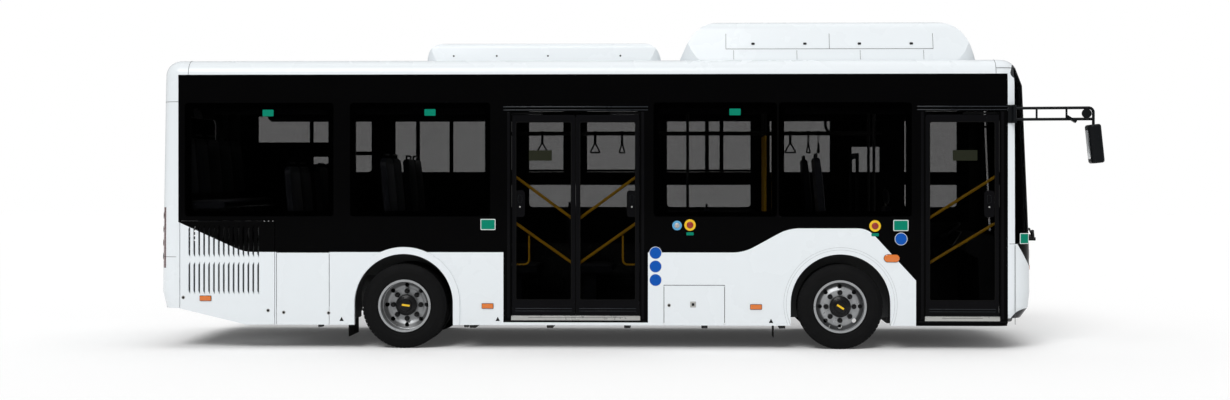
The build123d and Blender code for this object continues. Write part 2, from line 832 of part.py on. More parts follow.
nodes["wheel_boxes"] = Compound(wheel_boxes)

# Underframe: two rails under the low floor with cross members
rail_z1 = floor_top - t
rail_z0 = rail_z1 - rail_height
rails = []
x_rail0, x_rail1 = x_step, x_fa - wheel_box_half_length
for sign in (-1, 1):
    y = sign * rail_half_gap
    rails.append(block(x_rail0, x_rail1, y - rail_width / 2, y + rail_width / 2, rail_z0, rail_z1))
step = (x_rail1 - x_rail0 - cross_width) / (cross_count - 1)
frame = rails[0] + rails[1]
for i in range(cross_count):
    x = x_rail0 + i * step
    frame = frame + block(x, x + cross_width, -inner_half + wall, inner_half - wall, rail_z0, rail_z1)
rear_rails = []
rear_rail_z1 = platform_top - t
for sign in (-1, 1):
    y = sign * rail_half_gap
    rear_rails.append(block(x_podium - t, x_step - t, y - rail_width / 2, y + rail_width / 2,
                            rear_rail_z1 - rail_height, rear_rail_z1))
front_frame = block(x_fa + wheel_box_half_length, x_fa + wheel_box_half_length + cross_width,
                    -rail_half_gap, rail_half_gap, rail_z0, rail_z1)
for sign in (-1, 1):
    y = sign * rail_half_gap
    front_frame = front_frame + block(x_fa + wheel_box_half_length, x_floor_front, y - rail_width / 2,
                                      y + rail_width / 2, rail_z0, rail_z1)
front_frame = front_frame + block(x_floor_front - cross_width, x_floor_front, -rail_half_gap, rail_half_gap,
                                  rail_z0, rail_z1)
tow_x = x_floor_front + tow_reach
tow = block(x_floor_front, tow_x, -tow_radius, tow_radius, rail_z0, rail_z0 + tow_thickness)
tow = tow + Pos(tow_x, 0, rail_z0 + tow_thickness / 2) * Cylinder(tow_radius, tow_thickness)
front_frame = front_frame + tow - rod((tow_x, 0, 0), (tow_x, 0, floor_top), tow_bore)
nodes["underframe"] = Compound([frame, front_frame, *rear_rails])

# Engine
engine_x0 = x_rear + engine_tail_gap
nodes["engine"] = block(engine_x0, engine_x0 + engine_length, -engine_width / 2, engine_width / 2,
                        podium_top - t - engine_height, podium_top - t)


def spin(points):
    """Turn a closed outline of (radius, sideways) points about the wheel's axis."""
    return revolve(make_face(Polyline(*points, close=True)), Axis.Y)


def tyre(y, plain):
    """A tyre at a sideways place, with shoulders unless it is the plain inner one of a pair."""
    half = tyre_width / 2
    right = [(rim_radius, bead_half), (tyre_radius - shoulder_drop, half),
             (tyre_radius, half - shoulder_width)]
    if plain:
        right = [(rim_radius, bead_half), (tyre_radius, half - shoulder_width / 2)]
    return Pos(0, y, 0) * spin(right + [(r, -s) for r, s in reversed(right)])


def rim(y, disc_y):
    """A steel rim with flanges, and its disc with hand holes at disc_y from the rim's middle."""
    half = bead_half + flange_clearance
    r = rim_radius - fit_gap
    out = half + flange_width
    dished = disc_y - disc_dish
    barrel = spin([
        (r, -half), (r, half), (flange_radius, half), (flange_radius, out), (r - barrel_thickness, out),
        (r - barrel_thickness, -out), (flange_radius, -out), (flange_radius, -half),
    ])
    disc = spin([
        (hub_bore, disc_y), (disc_knee, disc_y), (r - barrel_thickness, dished),
        (r - barrel_thickness, dished + disc_thickness), (disc_knee, disc_y + disc_thickness),
        (hub_bore, disc_y + disc_thickness),
    ])
    hole = rod((0, dished, 0), (0, disc_y + disc_thickness, 0), hand_hole_radius)
    disc = disc - ring_of(hand_hole_count, hand_hole_circle, hole)
    return Pos(0, y, 0) * (barrel + disc)


def ring_of(count, radius, shape):
    """Copies of a shape around the wheel's axis."""
    return [Rot(0, 360.0 / count * i, 0) * Pos(radius, 0, 0) * shape for i in range(count)]


def nut(y0, y1):
    """A hexagon nut along the wheel's axis."""
    return extrude(Plane.XZ.offset(-y1) * RegularPolygon(nut_radius, nut_flats), amount=y1 - y0)


def lateral_cylinder(radius, y0, y1):
    """A round boss along the wheel's axis."""
    return spin([(0, y0), (radius, y0), (radius, y1), (0, y1)])


# Wheels on the -Y side; the outboard face points to -Y
face_y = -wheel_y
front_wheel = mirrored(rim(0, -front_disc - disc_thickness))


def hub(disc_y, proud, depth):
    """A wheel hub with its grease cap, standing proud of the disc and reaching in behind it."""
    body = spin([(hub_bore, disc_y - proud), (hub_radius, disc_y - proud + hub_chamfer),
                 (hub_radius, disc_y + depth), (hub_bore, disc_y + depth)])
    cap = lateral_cylinder(hub_cap_radius, disc_y - proud - hub_cap_proud, disc_y - proud + hub_cap_seat)
    return body + cap


def nuts(disc_y):
    """The ring of wheel nuts on a disc."""
    return ring_of(nut_count, stud_circle_radius, nut(disc_y - nut_height, disc_y + disc_thickness / 2))


front_wheel = front_wheel + hub(front_disc, front_hub_proud, front_hub_depth) + nuts(front_disc)
nodes["front_tyre_right"] = Pos(x_fa, face_y, axle_height) * tyre(0, False)
nodes["front_wheel_right"] = Pos(x_fa, face_y, axle_height) * front_wheel
inner_rim = mirrored(rim(0, rear_disc - inner_disc_setback))
rear_pair = rim(0, rear_disc) + Pos(0, twin_spacing, 0) * inner_rim
spacer_radius = stud_circle_radius + nut_radius
spacer = spin([(hub_radius, rear_disc), (spacer_radius, rear_disc), (spacer_radius, rear_disc + spacer_depth),
               (hub_radius, rear_disc + spacer_depth)])
rear_wheel = rear_pair + spacer + hub(rear_disc, rear_hub_proud, rear_hub_depth) + nuts(rear_disc)
nodes["rear_wheels_right"] = Pos(x_ra, face_y, axle_height) * rear_wheel
nodes["rear_tyres_right"] = Compound([
    Pos(x_ra, face_y, axle_height) * tyre(0, False),
    Pos(x_ra, face_y + twin_spacing, axle_height) * tyre(0, True)])
for name in ("front_tyre", "front_wheel", "rear_wheels", "rear_tyres"):
    nodes[name + "_left"] = mirrored(nodes[name + "_right"])

# Front axle: a dropped beam with kingpin eyes, and a knuckle at each end
k = kingpin_offset
eye = Pos(x_fa, -k, axle_height) * Cylinder(eye_radius, eye_half_height * 2)
pin = Pos(x_fa, -k, axle_height) * Cylinder(kingpin_radius, (eye_half_height + ear_height) * 2)
neck_y = -k + front_beam_neck
beam_top = axle_height + front_beam_top
beam_foot = axle_height - eye_half_height
w = front_beam_half_width
beam_top_y = -k + front_beam_shoulder
beam_low_y = beam_top_y + front_beam_slope
beam_outline = Polyline(
    (neck_y, beam_foot), (neck_y, beam_top), (beam_top_y, beam_top), (beam_low_y, front_beam_drop),
    (-beam_low_y, front_beam_drop), (-beam_top_y, beam_top), (-neck_y, beam_top), (-neck_y, beam_foot),
    (-beam_top_y + front_beam_knee, beam_foot),
    (-beam_low_y + front_beam_height, front_beam_drop - front_beam_height),
    (beam_low_y - front_beam_height, front_beam_drop - front_beam_height),
    (beam_top_y - front_beam_knee, beam_foot), close=True,
)
beam = extrude(Plane.YZ.offset(x_fa - w) * make_face(beam_outline), amount=2 * w)
beam_end = eye + pin
nodes["front_axle"] = beam + beam_end + mirrored(beam_end)
ear_z0 = eye_half_height + fit_gap
ear = Pos(x_fa, -k, axle_height + ear_z0 + ear_height / 2) * Cylinder(ear_radius, ear_height)
ear = ear + block(x_fa - ear_radius, x_fa + ear_radius, -k - eye_radius - ear_reach, -k,
                  axle_height + ear_z0, axle_height + ear_z0 + ear_height)
web = block(x_fa - ear_radius, x_fa + ear_radius,
            -k - eye_radius - ear_reach, -k - eye_radius - web_setback,
            axle_height - ear_z0 - ear_height, axle_height + ear_z0 + ear_height)
low_ear = Pos(0, 0, -2 * ear_z0 - ear_height) * ear
spindle_y = face_y + front_disc + spindle_reach
spindle = rod((x_fa, -k - eye_radius - spindle_root, axle_height), (x_fa, spindle_y, axle_height),
              hub_bore - fit_gap)
hole = Pos(x_fa, -k, axle_height) * Cylinder(kingpin_radius + fit_gap, overrun)
knuckle = ear + low_ear + web + spindle - hole
nodes["knuckle_right"] = knuckle
nodes["knuckle_left"] = mirrored(knuckle)

# Rear axle: a tube with the differential in its middle, and a spindle inside each hub
tube = rod((x_ra, -inner_half + wheel_box_depth, axle_height), (x_ra, inner_half - wheel_box_depth, axle_height),
           rear_tube_radius)
stub = rod((x_ra, face_y + rear_disc + rear_stub_reach, axle_height),
           (x_ra, -face_y - rear_disc - rear_stub_reach, axle_height),
           hub_bore - fit_gap)
bulge = Pos(x_ra, 0, axle_height) * Rot(90, 0, 0) * Cylinder(diff_radius, diff_half_width)
nodes["rear_axle"] = tube + stub + bulge

# Air springs on carriers across the rear axle, and pads under the front of the floor
carriers = []
for side in (-1, 1):
    y = side * rail_half_gap
    carrier = block(x_ra - carrier_half_length, x_ra + carrier_half_length, y - carrier_half_width,
                    y + carrier_half_width, axle_height - carrier_low, axle_height - carrier_high)
    carrier = carrier - rod((x_ra, -far, axle_height), (x_ra, far, axle_height), rear_tube_radius)
    for end in (-1, 1):
        x = x_ra + end * spring_offset
        carrier = carrier + rod((x, y, axle_height - carrier_high), (x, y, rear_rail_z1 - rail_height),
                                spring_radius)
    carriers.append(carrier)
pads = [block(x_fa - w, x_fa + w, s * rail_half_gap - spring_radius, s * rail_half_gap + spring_radius,
              front_beam_drop, floor_top - t) for s in (-1, 1)]
nodes["suspension"] = Compound(carriers + pads)


# Doors: each leaf hangs by its middle on two arms of an upright post at the jamb.
# The post turns inwards while the leaf turns back twice as fast, so the leaf's front
# edge runs along the doorway and the leaf parks square to it beside the jamb.
leaf_y = -half_width + leaf_recess + leaf_thickness / 2
post_y = leaf_y + arm_offset


def door(hinge_edge, free_edge):
    """Post, leaf and pane of one door; hinge_edge is the leaf's edge beside the post."""
    sign = 1 if free_edge > hinge_edge else -1
    post_x = hinge_edge - sign * post_setback
    reach = abs(free_edge - post_x) - guide_overlap
    mid_x = post_x + sign * reach / 2
    x0, x1 = min(hinge_edge, free_edge), max(hinge_edge, free_edge)
    y0, y1 = leaf_y - leaf_thickness / 2, leaf_y + leaf_thickness / 2
    arm_z = (floor_top + run_gap, door_high + run_gap)
    post = rod((post_x, post_y, floor_top + fit_gap), (post_x, post_y, door_header + wall - fit_gap),
               post_radius)
    for z in arm_z:
        ax0, ax1 = min(post_x, mid_x), max(post_x, mid_x)
        post = post + block(ax0, ax1, post_y - arm_width / 2, post_y + arm_width / 2, z, z + arm_height)
        post = post + Pos(mid_x, post_y, z + arm_height / 2) * Cylinder(arm_width / 2, arm_height)
    low, high = arm_z[0] + arm_height, arm_z[1]
    bracket_low, bracket_high = door_low, door_high - arm_width
    lug = arm_width / 2
    post = post + rod((mid_x, post_y, low), (mid_x, post_y, bracket_low + leaf_pin_grip), pin_radius)
    post = post + rod((mid_x, post_y, high), (mid_x, post_y, bracket_high + leaf_pin_reach), pin_radius)
    leaf = block(x0, x1, y0, y1, door_low, door_high)
    hole = side_cut(x0 + leaf_glass_border, x1 - leaf_glass_border, door_low + leaf_rail_low,
                    door_high - leaf_rail_high, leaf_glass_corner, y0 - overrun, y1 + overrun)
    leaf = leaf - hole
    for z in (bracket_low, bracket_high):
        leaf = leaf + block(mid_x - lug, mid_x + lug, y1, post_y, z, z + arm_width)
        leaf = leaf + Pos(mid_x, post_y, z + arm_width / 2) * Cylinder(lug, arm_width)
    leaf = leaf - rod((mid_x, post_y, 0), (mid_x, post_y, far), pin_radius + fit_gap)
    pane_y = leaf_y - leaf_thickness / 2 + glass_thickness
    pane = side_cut(x0 + leaf_glass_border + fit_gap, x1 - leaf_glass_border - fit_gap,
                    door_low + leaf_rail_low + fit_gap, door_high - leaf_rail_high - fit_gap,
                    leaf_glass_corner, pane_y, pane_y + glass_thickness)
    rail_y = y1 + door_rail_stand
    start, end = hinge_edge + sign * leaf_stile / 2, free_edge - sign * leaf_stile / 2
    rails = []
    for z_start, z_end in zip(door_rail_hinge_ends, door_rail_free_ends):
        route = Polyline((start, y1 + fit_gap, z_start), (start, rail_y, z_start), (end, rail_y, z_end),
                         (end, y1 + fit_gap, z_end))
        mouth = Plane(origin=route @ 0, z_dir=route % 0) * Circle(handrail_radius)
        rails.append(sweep(mouth, path=route, transition=Transition.RIGHT))
    return post, leaf, pane, Compound(rails), (post_x, post_y), (mid_x, post_y)


exit_l = exit_x0 + door_jamb
exit_r = exit_x1 - door_jamb
exit_mid = (exit_l + exit_r) / 2
door_table = [  # name, edge beside the post, free edge
    ("exit_door_rear", exit_l + run_gap, exit_mid - seam_gap / 2),
    ("exit_door_front", exit_r - run_gap, exit_mid + seam_gap / 2),
    ("entry_door", entry_x1 - door_jamb - run_gap, entry_x0 + door_jamb + run_gap),
]
for name, hinge_edge, free_edge in door_table:
    post, leaf, pane, rails, post_at, mid_at = door(hinge_edge, free_edge)
    nodes[name + "_rails"] = rails
    nodes[name + "_post"] = post
    nodes[name + "_leaf"] = leaf
    nodes[name + "_glass"] = pane
    print(name, "post", post_at, "leaf hinge", mid_at)


# Seats: a moulded cushion and leaning back on a pedestal, all on the floor under them
def seat(width, rise):
    """One seat facing forward, its front at the far end and its cushion top at the given rise."""
    top = rise + back_height
    side = make_face(Polyline(
        (0, rise - seat_cushion), (seat_depth, rise - seat_cushion), (seat_depth, rise),
        (back_thickness, rise), (back_thickness - back_lean, top), (-back_lean, top), close=True))
    side = fillet(side.vertices(), seat_edge_radius)
    shell = extrude(Plane.XZ.offset(-width / 2) * side, amount=width)
    half = width / 2
    front = make_face(Polyline((-half, 0), (-half, top), (half, top), (half, 0), close=True))
    front = fillet(front.vertices().group_by(Axis.Y)[-1], seat_shoulder_radius)
    shell = shell & extrude(Plane.YZ.offset(-back_lean) * front, amount=back_lean + seat_depth)
    leg = block(seat_leg_rear, seat_leg_front, -seat_leg_half_width, seat_leg_half_width, 0,
                rise - seat_cushion)
    return shell + leg


window_lane = inner_half - seat_wall_gap - seat_width / 2
aisle_lane = window_lane - seat_width - seat_gap
box_top = axle_height + arch_centre_rise + wheel_box_half_length + wheel_box_wall + fit_gap
both_lanes, both_sides = (window_lane, aisle_lane), (-1, 1)
box_seat_rise_in_aisle = box_seat_rise + box_top - platform_top
seat_table = [  # back's place, floor height, cushion's rise, lanes from the window, sides
    (x_podium - podium_row_back, podium_top, seat_rise, both_lanes, both_sides),
    (x_podium - podium_row_back, podium_top, seat_rise, (0,), (1,)),
    (x_ra - platform_row_back, platform_top, seat_rise, both_lanes, both_sides),
    (x_ra - box_seat_setback, box_top, box_seat_rise, (window_lane,), both_sides),
    (x_ra - box_seat_setback, platform_top, box_seat_rise_in_aisle, (aisle_lane,), both_sides),
    (x_fa - right_row_back, floor_top, seat_rise, (window_lane,), (-1,)),
    (x_fa - box_seat_setback, box_top, box_seat_rise, (window_lane,), both_sides),
]
seat_table += [(x_ra + row, floor_top, seat_rise, both_lanes, (1,)) for row in left_rows_from_rear_axle]
seats = [Pos(x, side * lane, z) * seat(seat_width, rise)
         for x, z, rise, lanes, sides in seat_table for lane in lanes for side in sides]
nodes["passenger_seats"] = Compound(seats)
driver_y = inner_half - driver_from_wall
nodes["driver_seat"] = Pos(x_fa + driver_from_axle, driver_y, floor_top) * seat(seat_width, seat_rise)

# Dashboard with the steering wheel, and the partition behind the driver
dash_x0 = x_fa + dash_from_front_axle
dash_x1 = dash_x0 + dash_depth
dash_outline = Polyline(
    (dash_x1, floor_top), (dash_x1, floor_top + dash_top),
    (dash_x0 + dash_hood, floor_top + dash_top + dash_hood_rise), (dash_x0, floor_top + dash_lip),
    (dash_x0 + dash_knee_setback, floor_top + dash_knee), (dash_x0 + dash_foot_setback, floor_top),
    close=True)
dash = prism_xz(dash_outline, -dash_right_end, inner_half - dash_wall_gap)
steering_at = (dash_x0 - steering_setback, driver_y, floor_top + steering_rise)
column_foot = (dash_x0 + dash_hood, driver_y, floor_top + steering_column_rise)
column = rod(column_foot, steering_at, steering_column_radius)
column_line = Vector(*steering_at) - Vector(*column_foot)
steering_plane = Plane(origin=steering_at, x_dir=(0, 1, 0), z_dir=column_line)
steering_wheel = steering_plane * Torus(steering_radius, steering_rim_radius)
spoke = steering_plane * Box(2 * steering_radius, steering_spoke_width, steering_rim_radius)
partition_x = x_fa + partition_from_front_axle
partition = block(partition_x, partition_x + partition_thickness, partition_inner_end, inner_half - fit_gap,
                  floor_top, floor_top + partition_height)
partition = partition - end_cut(
    partition_inner_end + partition_frame, inner_half - fit_gap - partition_frame,
    floor_top + partition_window_low, floor_top + partition_height - partition_frame, pane_corner,
    partition_x - overrun, partition_x + overrun)
partition = partition - mirrored(front_box_room)
nodes["dashboard"] = Compound([dash + column + spoke + steering_wheel, partition])

# Grab rails: poles from floor to ceiling joined by ceiling rails
seat_side = aisle_lane - seat_width / 2 - handrail_radius - run_gap
poles = [x_ra + x for x in poles_from_rear_axle] + [x_fa + x for x in poles_from_front_axle]
rails = []
for y in (-open_side_rail, seat_side):
    bar = rod((x_ra + rail_start_from_rear_axle, y, rail_height_high),
              (x_fa + rail_end_from_front_axle, y, rail_height_high), handrail_radius)
    for x in poles:
        bar = bar + rod((x, y, floor_top), (x, y, ceiling), handrail_radius)
    rails.append(bar)
nodes["grab_rails"] = Compound(rails)


# Mirrors: a forked base on each front pillar, and a ladder arm turning on its pin
def mirror_unit(reach_x, with_kerb_mirror):
    """Base, arm and head of a mirror on the -Y side, the head's foremost point at reach_x."""
    px, py = x_pillar + pillar_width / 2 + mirror_base_forward, -half_width - mirror_base_reach
    z0, z1 = mirror_arm_lower - mirror_arm_radius, mirror_arm_upper + mirror_arm_radius
    low, high = z0 - run_gap, z1 + run_gap
    plate = block(x_pillar + fit_gap, px + mirror_tube_radius, -half_width - mirror_plate, -half_width,
                  low - mirror_ear, high + mirror_ear)
    ears = [block(px - mirror_tube_radius, px + mirror_tube_radius, py - mirror_tube_radius,
                  -half_width - mirror_plate / 2, a, b)
            for a, b in ((low - mirror_ear, low), (high, high + mirror_ear))]
    plate = plate + block(x_pillar + fit_gap, px + mirror_tube_radius, -half_width, -inner_half,
                          low - mirror_ear, high + mirror_ear)
    plate = plate - body_form(-fit_gap)
    base = plate + ears + rod((px, py, low - mirror_ear / 2), (px, py, high + mirror_ear / 2), pin_radius)
    tip = (reach_x - mirror_head_depth / 2 - mirror_neck, -mirror_head_reach + mirror_head_width / 2)
    arm = rod((px, py, low + fit_gap), (px, py, high - fit_gap), mirror_tube_radius)
    arm = arm + rod((px, py, mirror_arm_lower), (*tip, mirror_arm_lower), mirror_arm_radius)
    bent = FilletPolyline((px, py, mirror_arm_upper), (*tip, mirror_arm_upper),
                          (*tip, mirror_head_top - mirror_neck), radius=mirror_bend_radius)
    arm = arm + sweep(Plane(origin=bent @ 0, z_dir=bent % 0) * Circle(mirror_arm_radius), path=bent)

    def along(share):
        return px + (tip[0] - px) * share, py + (tip[1] - py) * share

    for share in mirror_rung_shares:
        x, y = along(share)
        arm = arm + rod((x, y, mirror_arm_lower), (x, y, mirror_arm_upper), mirror_rung_radius)
    if with_kerb_mirror:
        length = tip[0] - px
        x, y = along((length - mirror_disc_setback) / length)
        middle = (mirror_arm_lower + mirror_arm_upper) / 2
        disc_half = mirror_disc_thickness / 2
        arm = arm + rod((x, y - disc_half, middle), (x, y + disc_half, middle), mirror_disc_radius)
        arm = arm + rod((x, y, mirror_arm_lower), (x, y, mirror_arm_upper), mirror_rung_radius)
        x, y = along((length - mirror_wing_setback) / length)
        arm = arm + Pos(x, y, mirror_arm_lower) * Rot(0, mirror_wing_angle, 0) * Box(*mirror_wing)
    arm = arm - rod((px, py, low - mirror_ear), (px, py, high + mirror_ear), pin_radius + fit_gap)
    head = Box(mirror_head_depth, mirror_head_width, mirror_head_height)
    head = fillet(head.edges().filter_by(Axis.Z), mirror_head_round)
    head = fillet(head.faces().sort_by(Axis.Z)[-1].edges() + head.faces().sort_by(Axis.Z)[0].edges(),
                  mirror_head_edge)
    rear_face = -mirror_head_depth / 2
    glass_half_width = mirror_head_width / 2 - mirror_head_round
    glass_half_height = mirror_head_height / 2 - mirror_head_round
    head = head - end_cut(-glass_half_width, glass_half_width, -glass_half_height, glass_half_height,
                          mirror_glass_inset, rear_face - overrun, rear_face + mirror_glass_depth)
    head = Rot(0, -mirror_lean_angle, 0) * head
    box = head.bounding_box()
    head = Pos(reach_x - box.max.X, tip[1], mirror_head_top - box.max.Z) * head
    return base, arm + head, (px, py)


base, arm, mirror_pin = mirror_unit(x_mirror, True)
nodes["mirror_bases"] = Compound([base, mirrored(base)])
nodes["mirror_right"] = arm
nodes["mirror_left"] = mirrored(mirror_unit(x_mirror - mirror_left_short, False)[1])

# Mud flaps: behind the rear wheels on the wheel boxes, and ahead of the front ones on the skirt
flap_y = -inner_half + fit_gap
mud_x = x_ra - wheel_box_half_length - wheel_box_wall
front_mud_x = x_fa - front_mud_from_axle
mud = [block(mud_x - mud_thickness, mud_x, flap_y, flap_y + mud_width, mud_low, mud_high),
       block(front_mud_x - mud_thickness, front_mud_x, flap_y, flap_y + front_mud_width, mud_low,
             floor_top - t)]
nodes["mud_flaps"] = Compound([m for p in mud for m in (p, mirrored(p))])


# Wipers: a boss on the screen's lower edge, an arm and a blade along the glass
def screen_x(y, z):
    """The front of the screen at one place."""
    rise_share = (z - belt_height) / (visor_height - belt_height)
    inset = belt_inset + (visor_front_inset - belt_inset) * rise_share
    return x_front - inset - front_crown_radius + sqrt(front_crown_radius ** 2 - y ** 2)


def wiper(pivot_y):
    """One wiper, its pivot at the given place across the screen."""
    def on_glass(y, z, lift):
        return screen_x(y, z) + lift, y, z

    pivot = on_glass(pivot_y, wiper_pivot_height, 0)
    boss_end = on_glass(pivot_y, wiper_pivot_height, wiper_boss_reach)
    middle_y = pivot_y + wiper_reach
    elbow = on_glass(middle_y, wiper_blade_height, wiper_arm_lift)
    boss = rod(pivot, boss_end, wiper_boss_radius)
    arm = rod(on_glass(pivot_y, wiper_pivot_height, wiper_boss_reach - wiper_boss_radius), elbow,
              wiper_arm_radius)
    link = rod(elbow, on_glass(middle_y, wiper_blade_height, wiper_blade_lift), wiper_arm_radius)
    ends = [on_glass(middle_y + side * wiper_blade_half, wiper_blade_height, wiper_blade_lift)
            for side in (-1, 0, 1)]
    blade = rod(ends[0], ends[1], wiper_blade_radius) + rod(ends[1], ends[2], wiper_blade_radius)
    return (boss + arm + link + blade) - body_form(-fit_gap)


nodes["wipers"] = Compound([wiper(y) for y in wiper_pivots])

os.makedirs("parts", exist_ok=True)
for name, shape in nodes.items():
    export_step(shape, f"parts/{name}.step")
print("nodes", len(nodes))
print("flap axes", flap_axes)
print("kingpin", x_fa, kingpin_offset, "rear axle", x_ra, "mirror pin", mirror_pin)
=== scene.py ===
"""City bus: finishes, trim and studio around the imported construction. Lengths are in metres."""

import json
import math

import bmesh
import bpy
from bpy.props import FloatProperty, FloatVectorProperty, IntProperty, PointerProperty
from mathutils import Matrix, Vector

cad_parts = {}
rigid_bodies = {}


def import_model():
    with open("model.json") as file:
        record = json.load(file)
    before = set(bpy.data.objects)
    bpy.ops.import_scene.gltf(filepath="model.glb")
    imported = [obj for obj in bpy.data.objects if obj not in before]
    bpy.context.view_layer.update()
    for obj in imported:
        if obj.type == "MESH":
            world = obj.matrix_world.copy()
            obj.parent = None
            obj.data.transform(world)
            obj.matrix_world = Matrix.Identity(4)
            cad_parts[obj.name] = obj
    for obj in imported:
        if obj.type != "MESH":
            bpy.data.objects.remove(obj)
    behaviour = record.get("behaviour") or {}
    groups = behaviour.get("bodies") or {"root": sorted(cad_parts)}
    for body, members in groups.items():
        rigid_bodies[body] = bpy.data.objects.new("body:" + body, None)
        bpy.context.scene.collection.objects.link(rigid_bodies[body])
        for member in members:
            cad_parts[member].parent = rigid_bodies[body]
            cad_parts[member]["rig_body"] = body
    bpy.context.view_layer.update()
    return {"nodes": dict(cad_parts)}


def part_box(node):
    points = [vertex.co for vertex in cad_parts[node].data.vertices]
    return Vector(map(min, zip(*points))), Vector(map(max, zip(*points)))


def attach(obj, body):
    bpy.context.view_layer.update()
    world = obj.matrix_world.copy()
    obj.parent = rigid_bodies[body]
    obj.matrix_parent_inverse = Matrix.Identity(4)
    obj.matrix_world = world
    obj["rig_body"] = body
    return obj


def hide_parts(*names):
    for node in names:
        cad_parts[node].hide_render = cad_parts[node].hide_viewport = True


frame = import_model()

bl_info = {
    "name": "City bus dressing",
    "version": (1, 0, 0),
    "blender": (4, 5, 0),
    "location": "View3D > Sidebar > City bus",
    "description": "Paint, glass, tyres, trim, seats and studio for the city bus",
    "category": "Object",
}

AXIS_Z = Vector((0, 0, 1))


def box(node):
    """Lowest and highest corner of a CAD node."""
    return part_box(node)


# Places read from the frame
SIDE_Y = box("side_right_lower")[0].y + 0.012
BODY_HIGH = box("roof")[1].z
REAR_AXLE = (box("rear_tyres_right")[0].x + box("rear_tyres_right")[1].x) / 2
FRONT_AXLE = (box("front_tyre_right")[0].x + box("front_tyre_right")[1].x) / 2
AXLE_Z = box("front_tyre_right")[1].z / 2
TYRE_RADIUS = AXLE_Z
REAR_X = box("rear_bumper")[0].x
FRONT_X = box("front_bumper")[1].x
PILLAR_X = box("side_right_upper")[1].x
REAR_JOINT_X = box("side_right_upper")[0].x
BAND_TOP = box("roof")[0].z
YELLOW_POLE_X = FRONT_AXLE - 0.700
SIDES = ((-1, "right"), (1, "left"))
LEAVES = ("exit_door_rear_leaf", "exit_door_front_leaf", "entry_door_leaf")


class BusSizes(bpy.types.PropertyGroup):
    """Sizes of the trim that a user may change."""

    seam: FloatProperty(name="Panel seam", description="Width of the dark line between two panels",
                        default=0.005, unit="LENGTH")
    tread_blocks: IntProperty(name="Tread blocks", description="Tread blocks around one tyre", default=64)
    tread_depth: FloatProperty(name="Tread depth", description="Depth of the tread grooves",
                               default=0.011, unit="LENGTH")
    disc_sign: FloatProperty(name="Round sign", description="Radius of the blank round signs",
                             default=0.062, unit="LENGTH")
    bevel: FloatProperty(name="Edge bevel", description="Bevel on the edges of small trim",
                         default=0.0012, unit="LENGTH")


class BusColours(bpy.types.PropertyGroup):
    """Colours of the finishes that a user may change."""

    white: FloatVectorProperty(name="Body white", description="Paint of roof, skirts and ends",
                               subtype="COLOR", default=(0.775, 0.815, 0.84))
    black: FloatVectorProperty(name="Band black", description="Paint of the window band",
                               subtype="COLOR", default=(0.0010, 0.0010, 0.0011))
    tint: FloatVectorProperty(name="Glass tint", description="What one face of a pane lets through",
                              subtype="COLOR", default=(0.552, 0.552, 0.552))
    yellow: FloatVectorProperty(name="Handrail yellow", description="Powder coat of the handrails",
                                subtype="COLOR", default=(0.95, 0.50, 0.01))
    orange: FloatVectorProperty(name="Marker orange", description="Side marker and turn lamps",
                                subtype="COLOR", default=(0.80, 0.19, 0.015))
    green: FloatVectorProperty(name="Sign green", description="Blank green plates",
                               subtype="COLOR", default=(0.0, 0.21, 0.13))
    blue: FloatVectorProperty(name="Sign blue", description="Blank round blue signs",
                              subtype="COLOR", default=(0.004, 0.085, 0.42))


def sizes():
    """The sizes in use."""
    return bpy.context.scene.city_bus_sizes


def colours():
    """The colours in use."""
    return bpy.context.scene.city_bus_colours


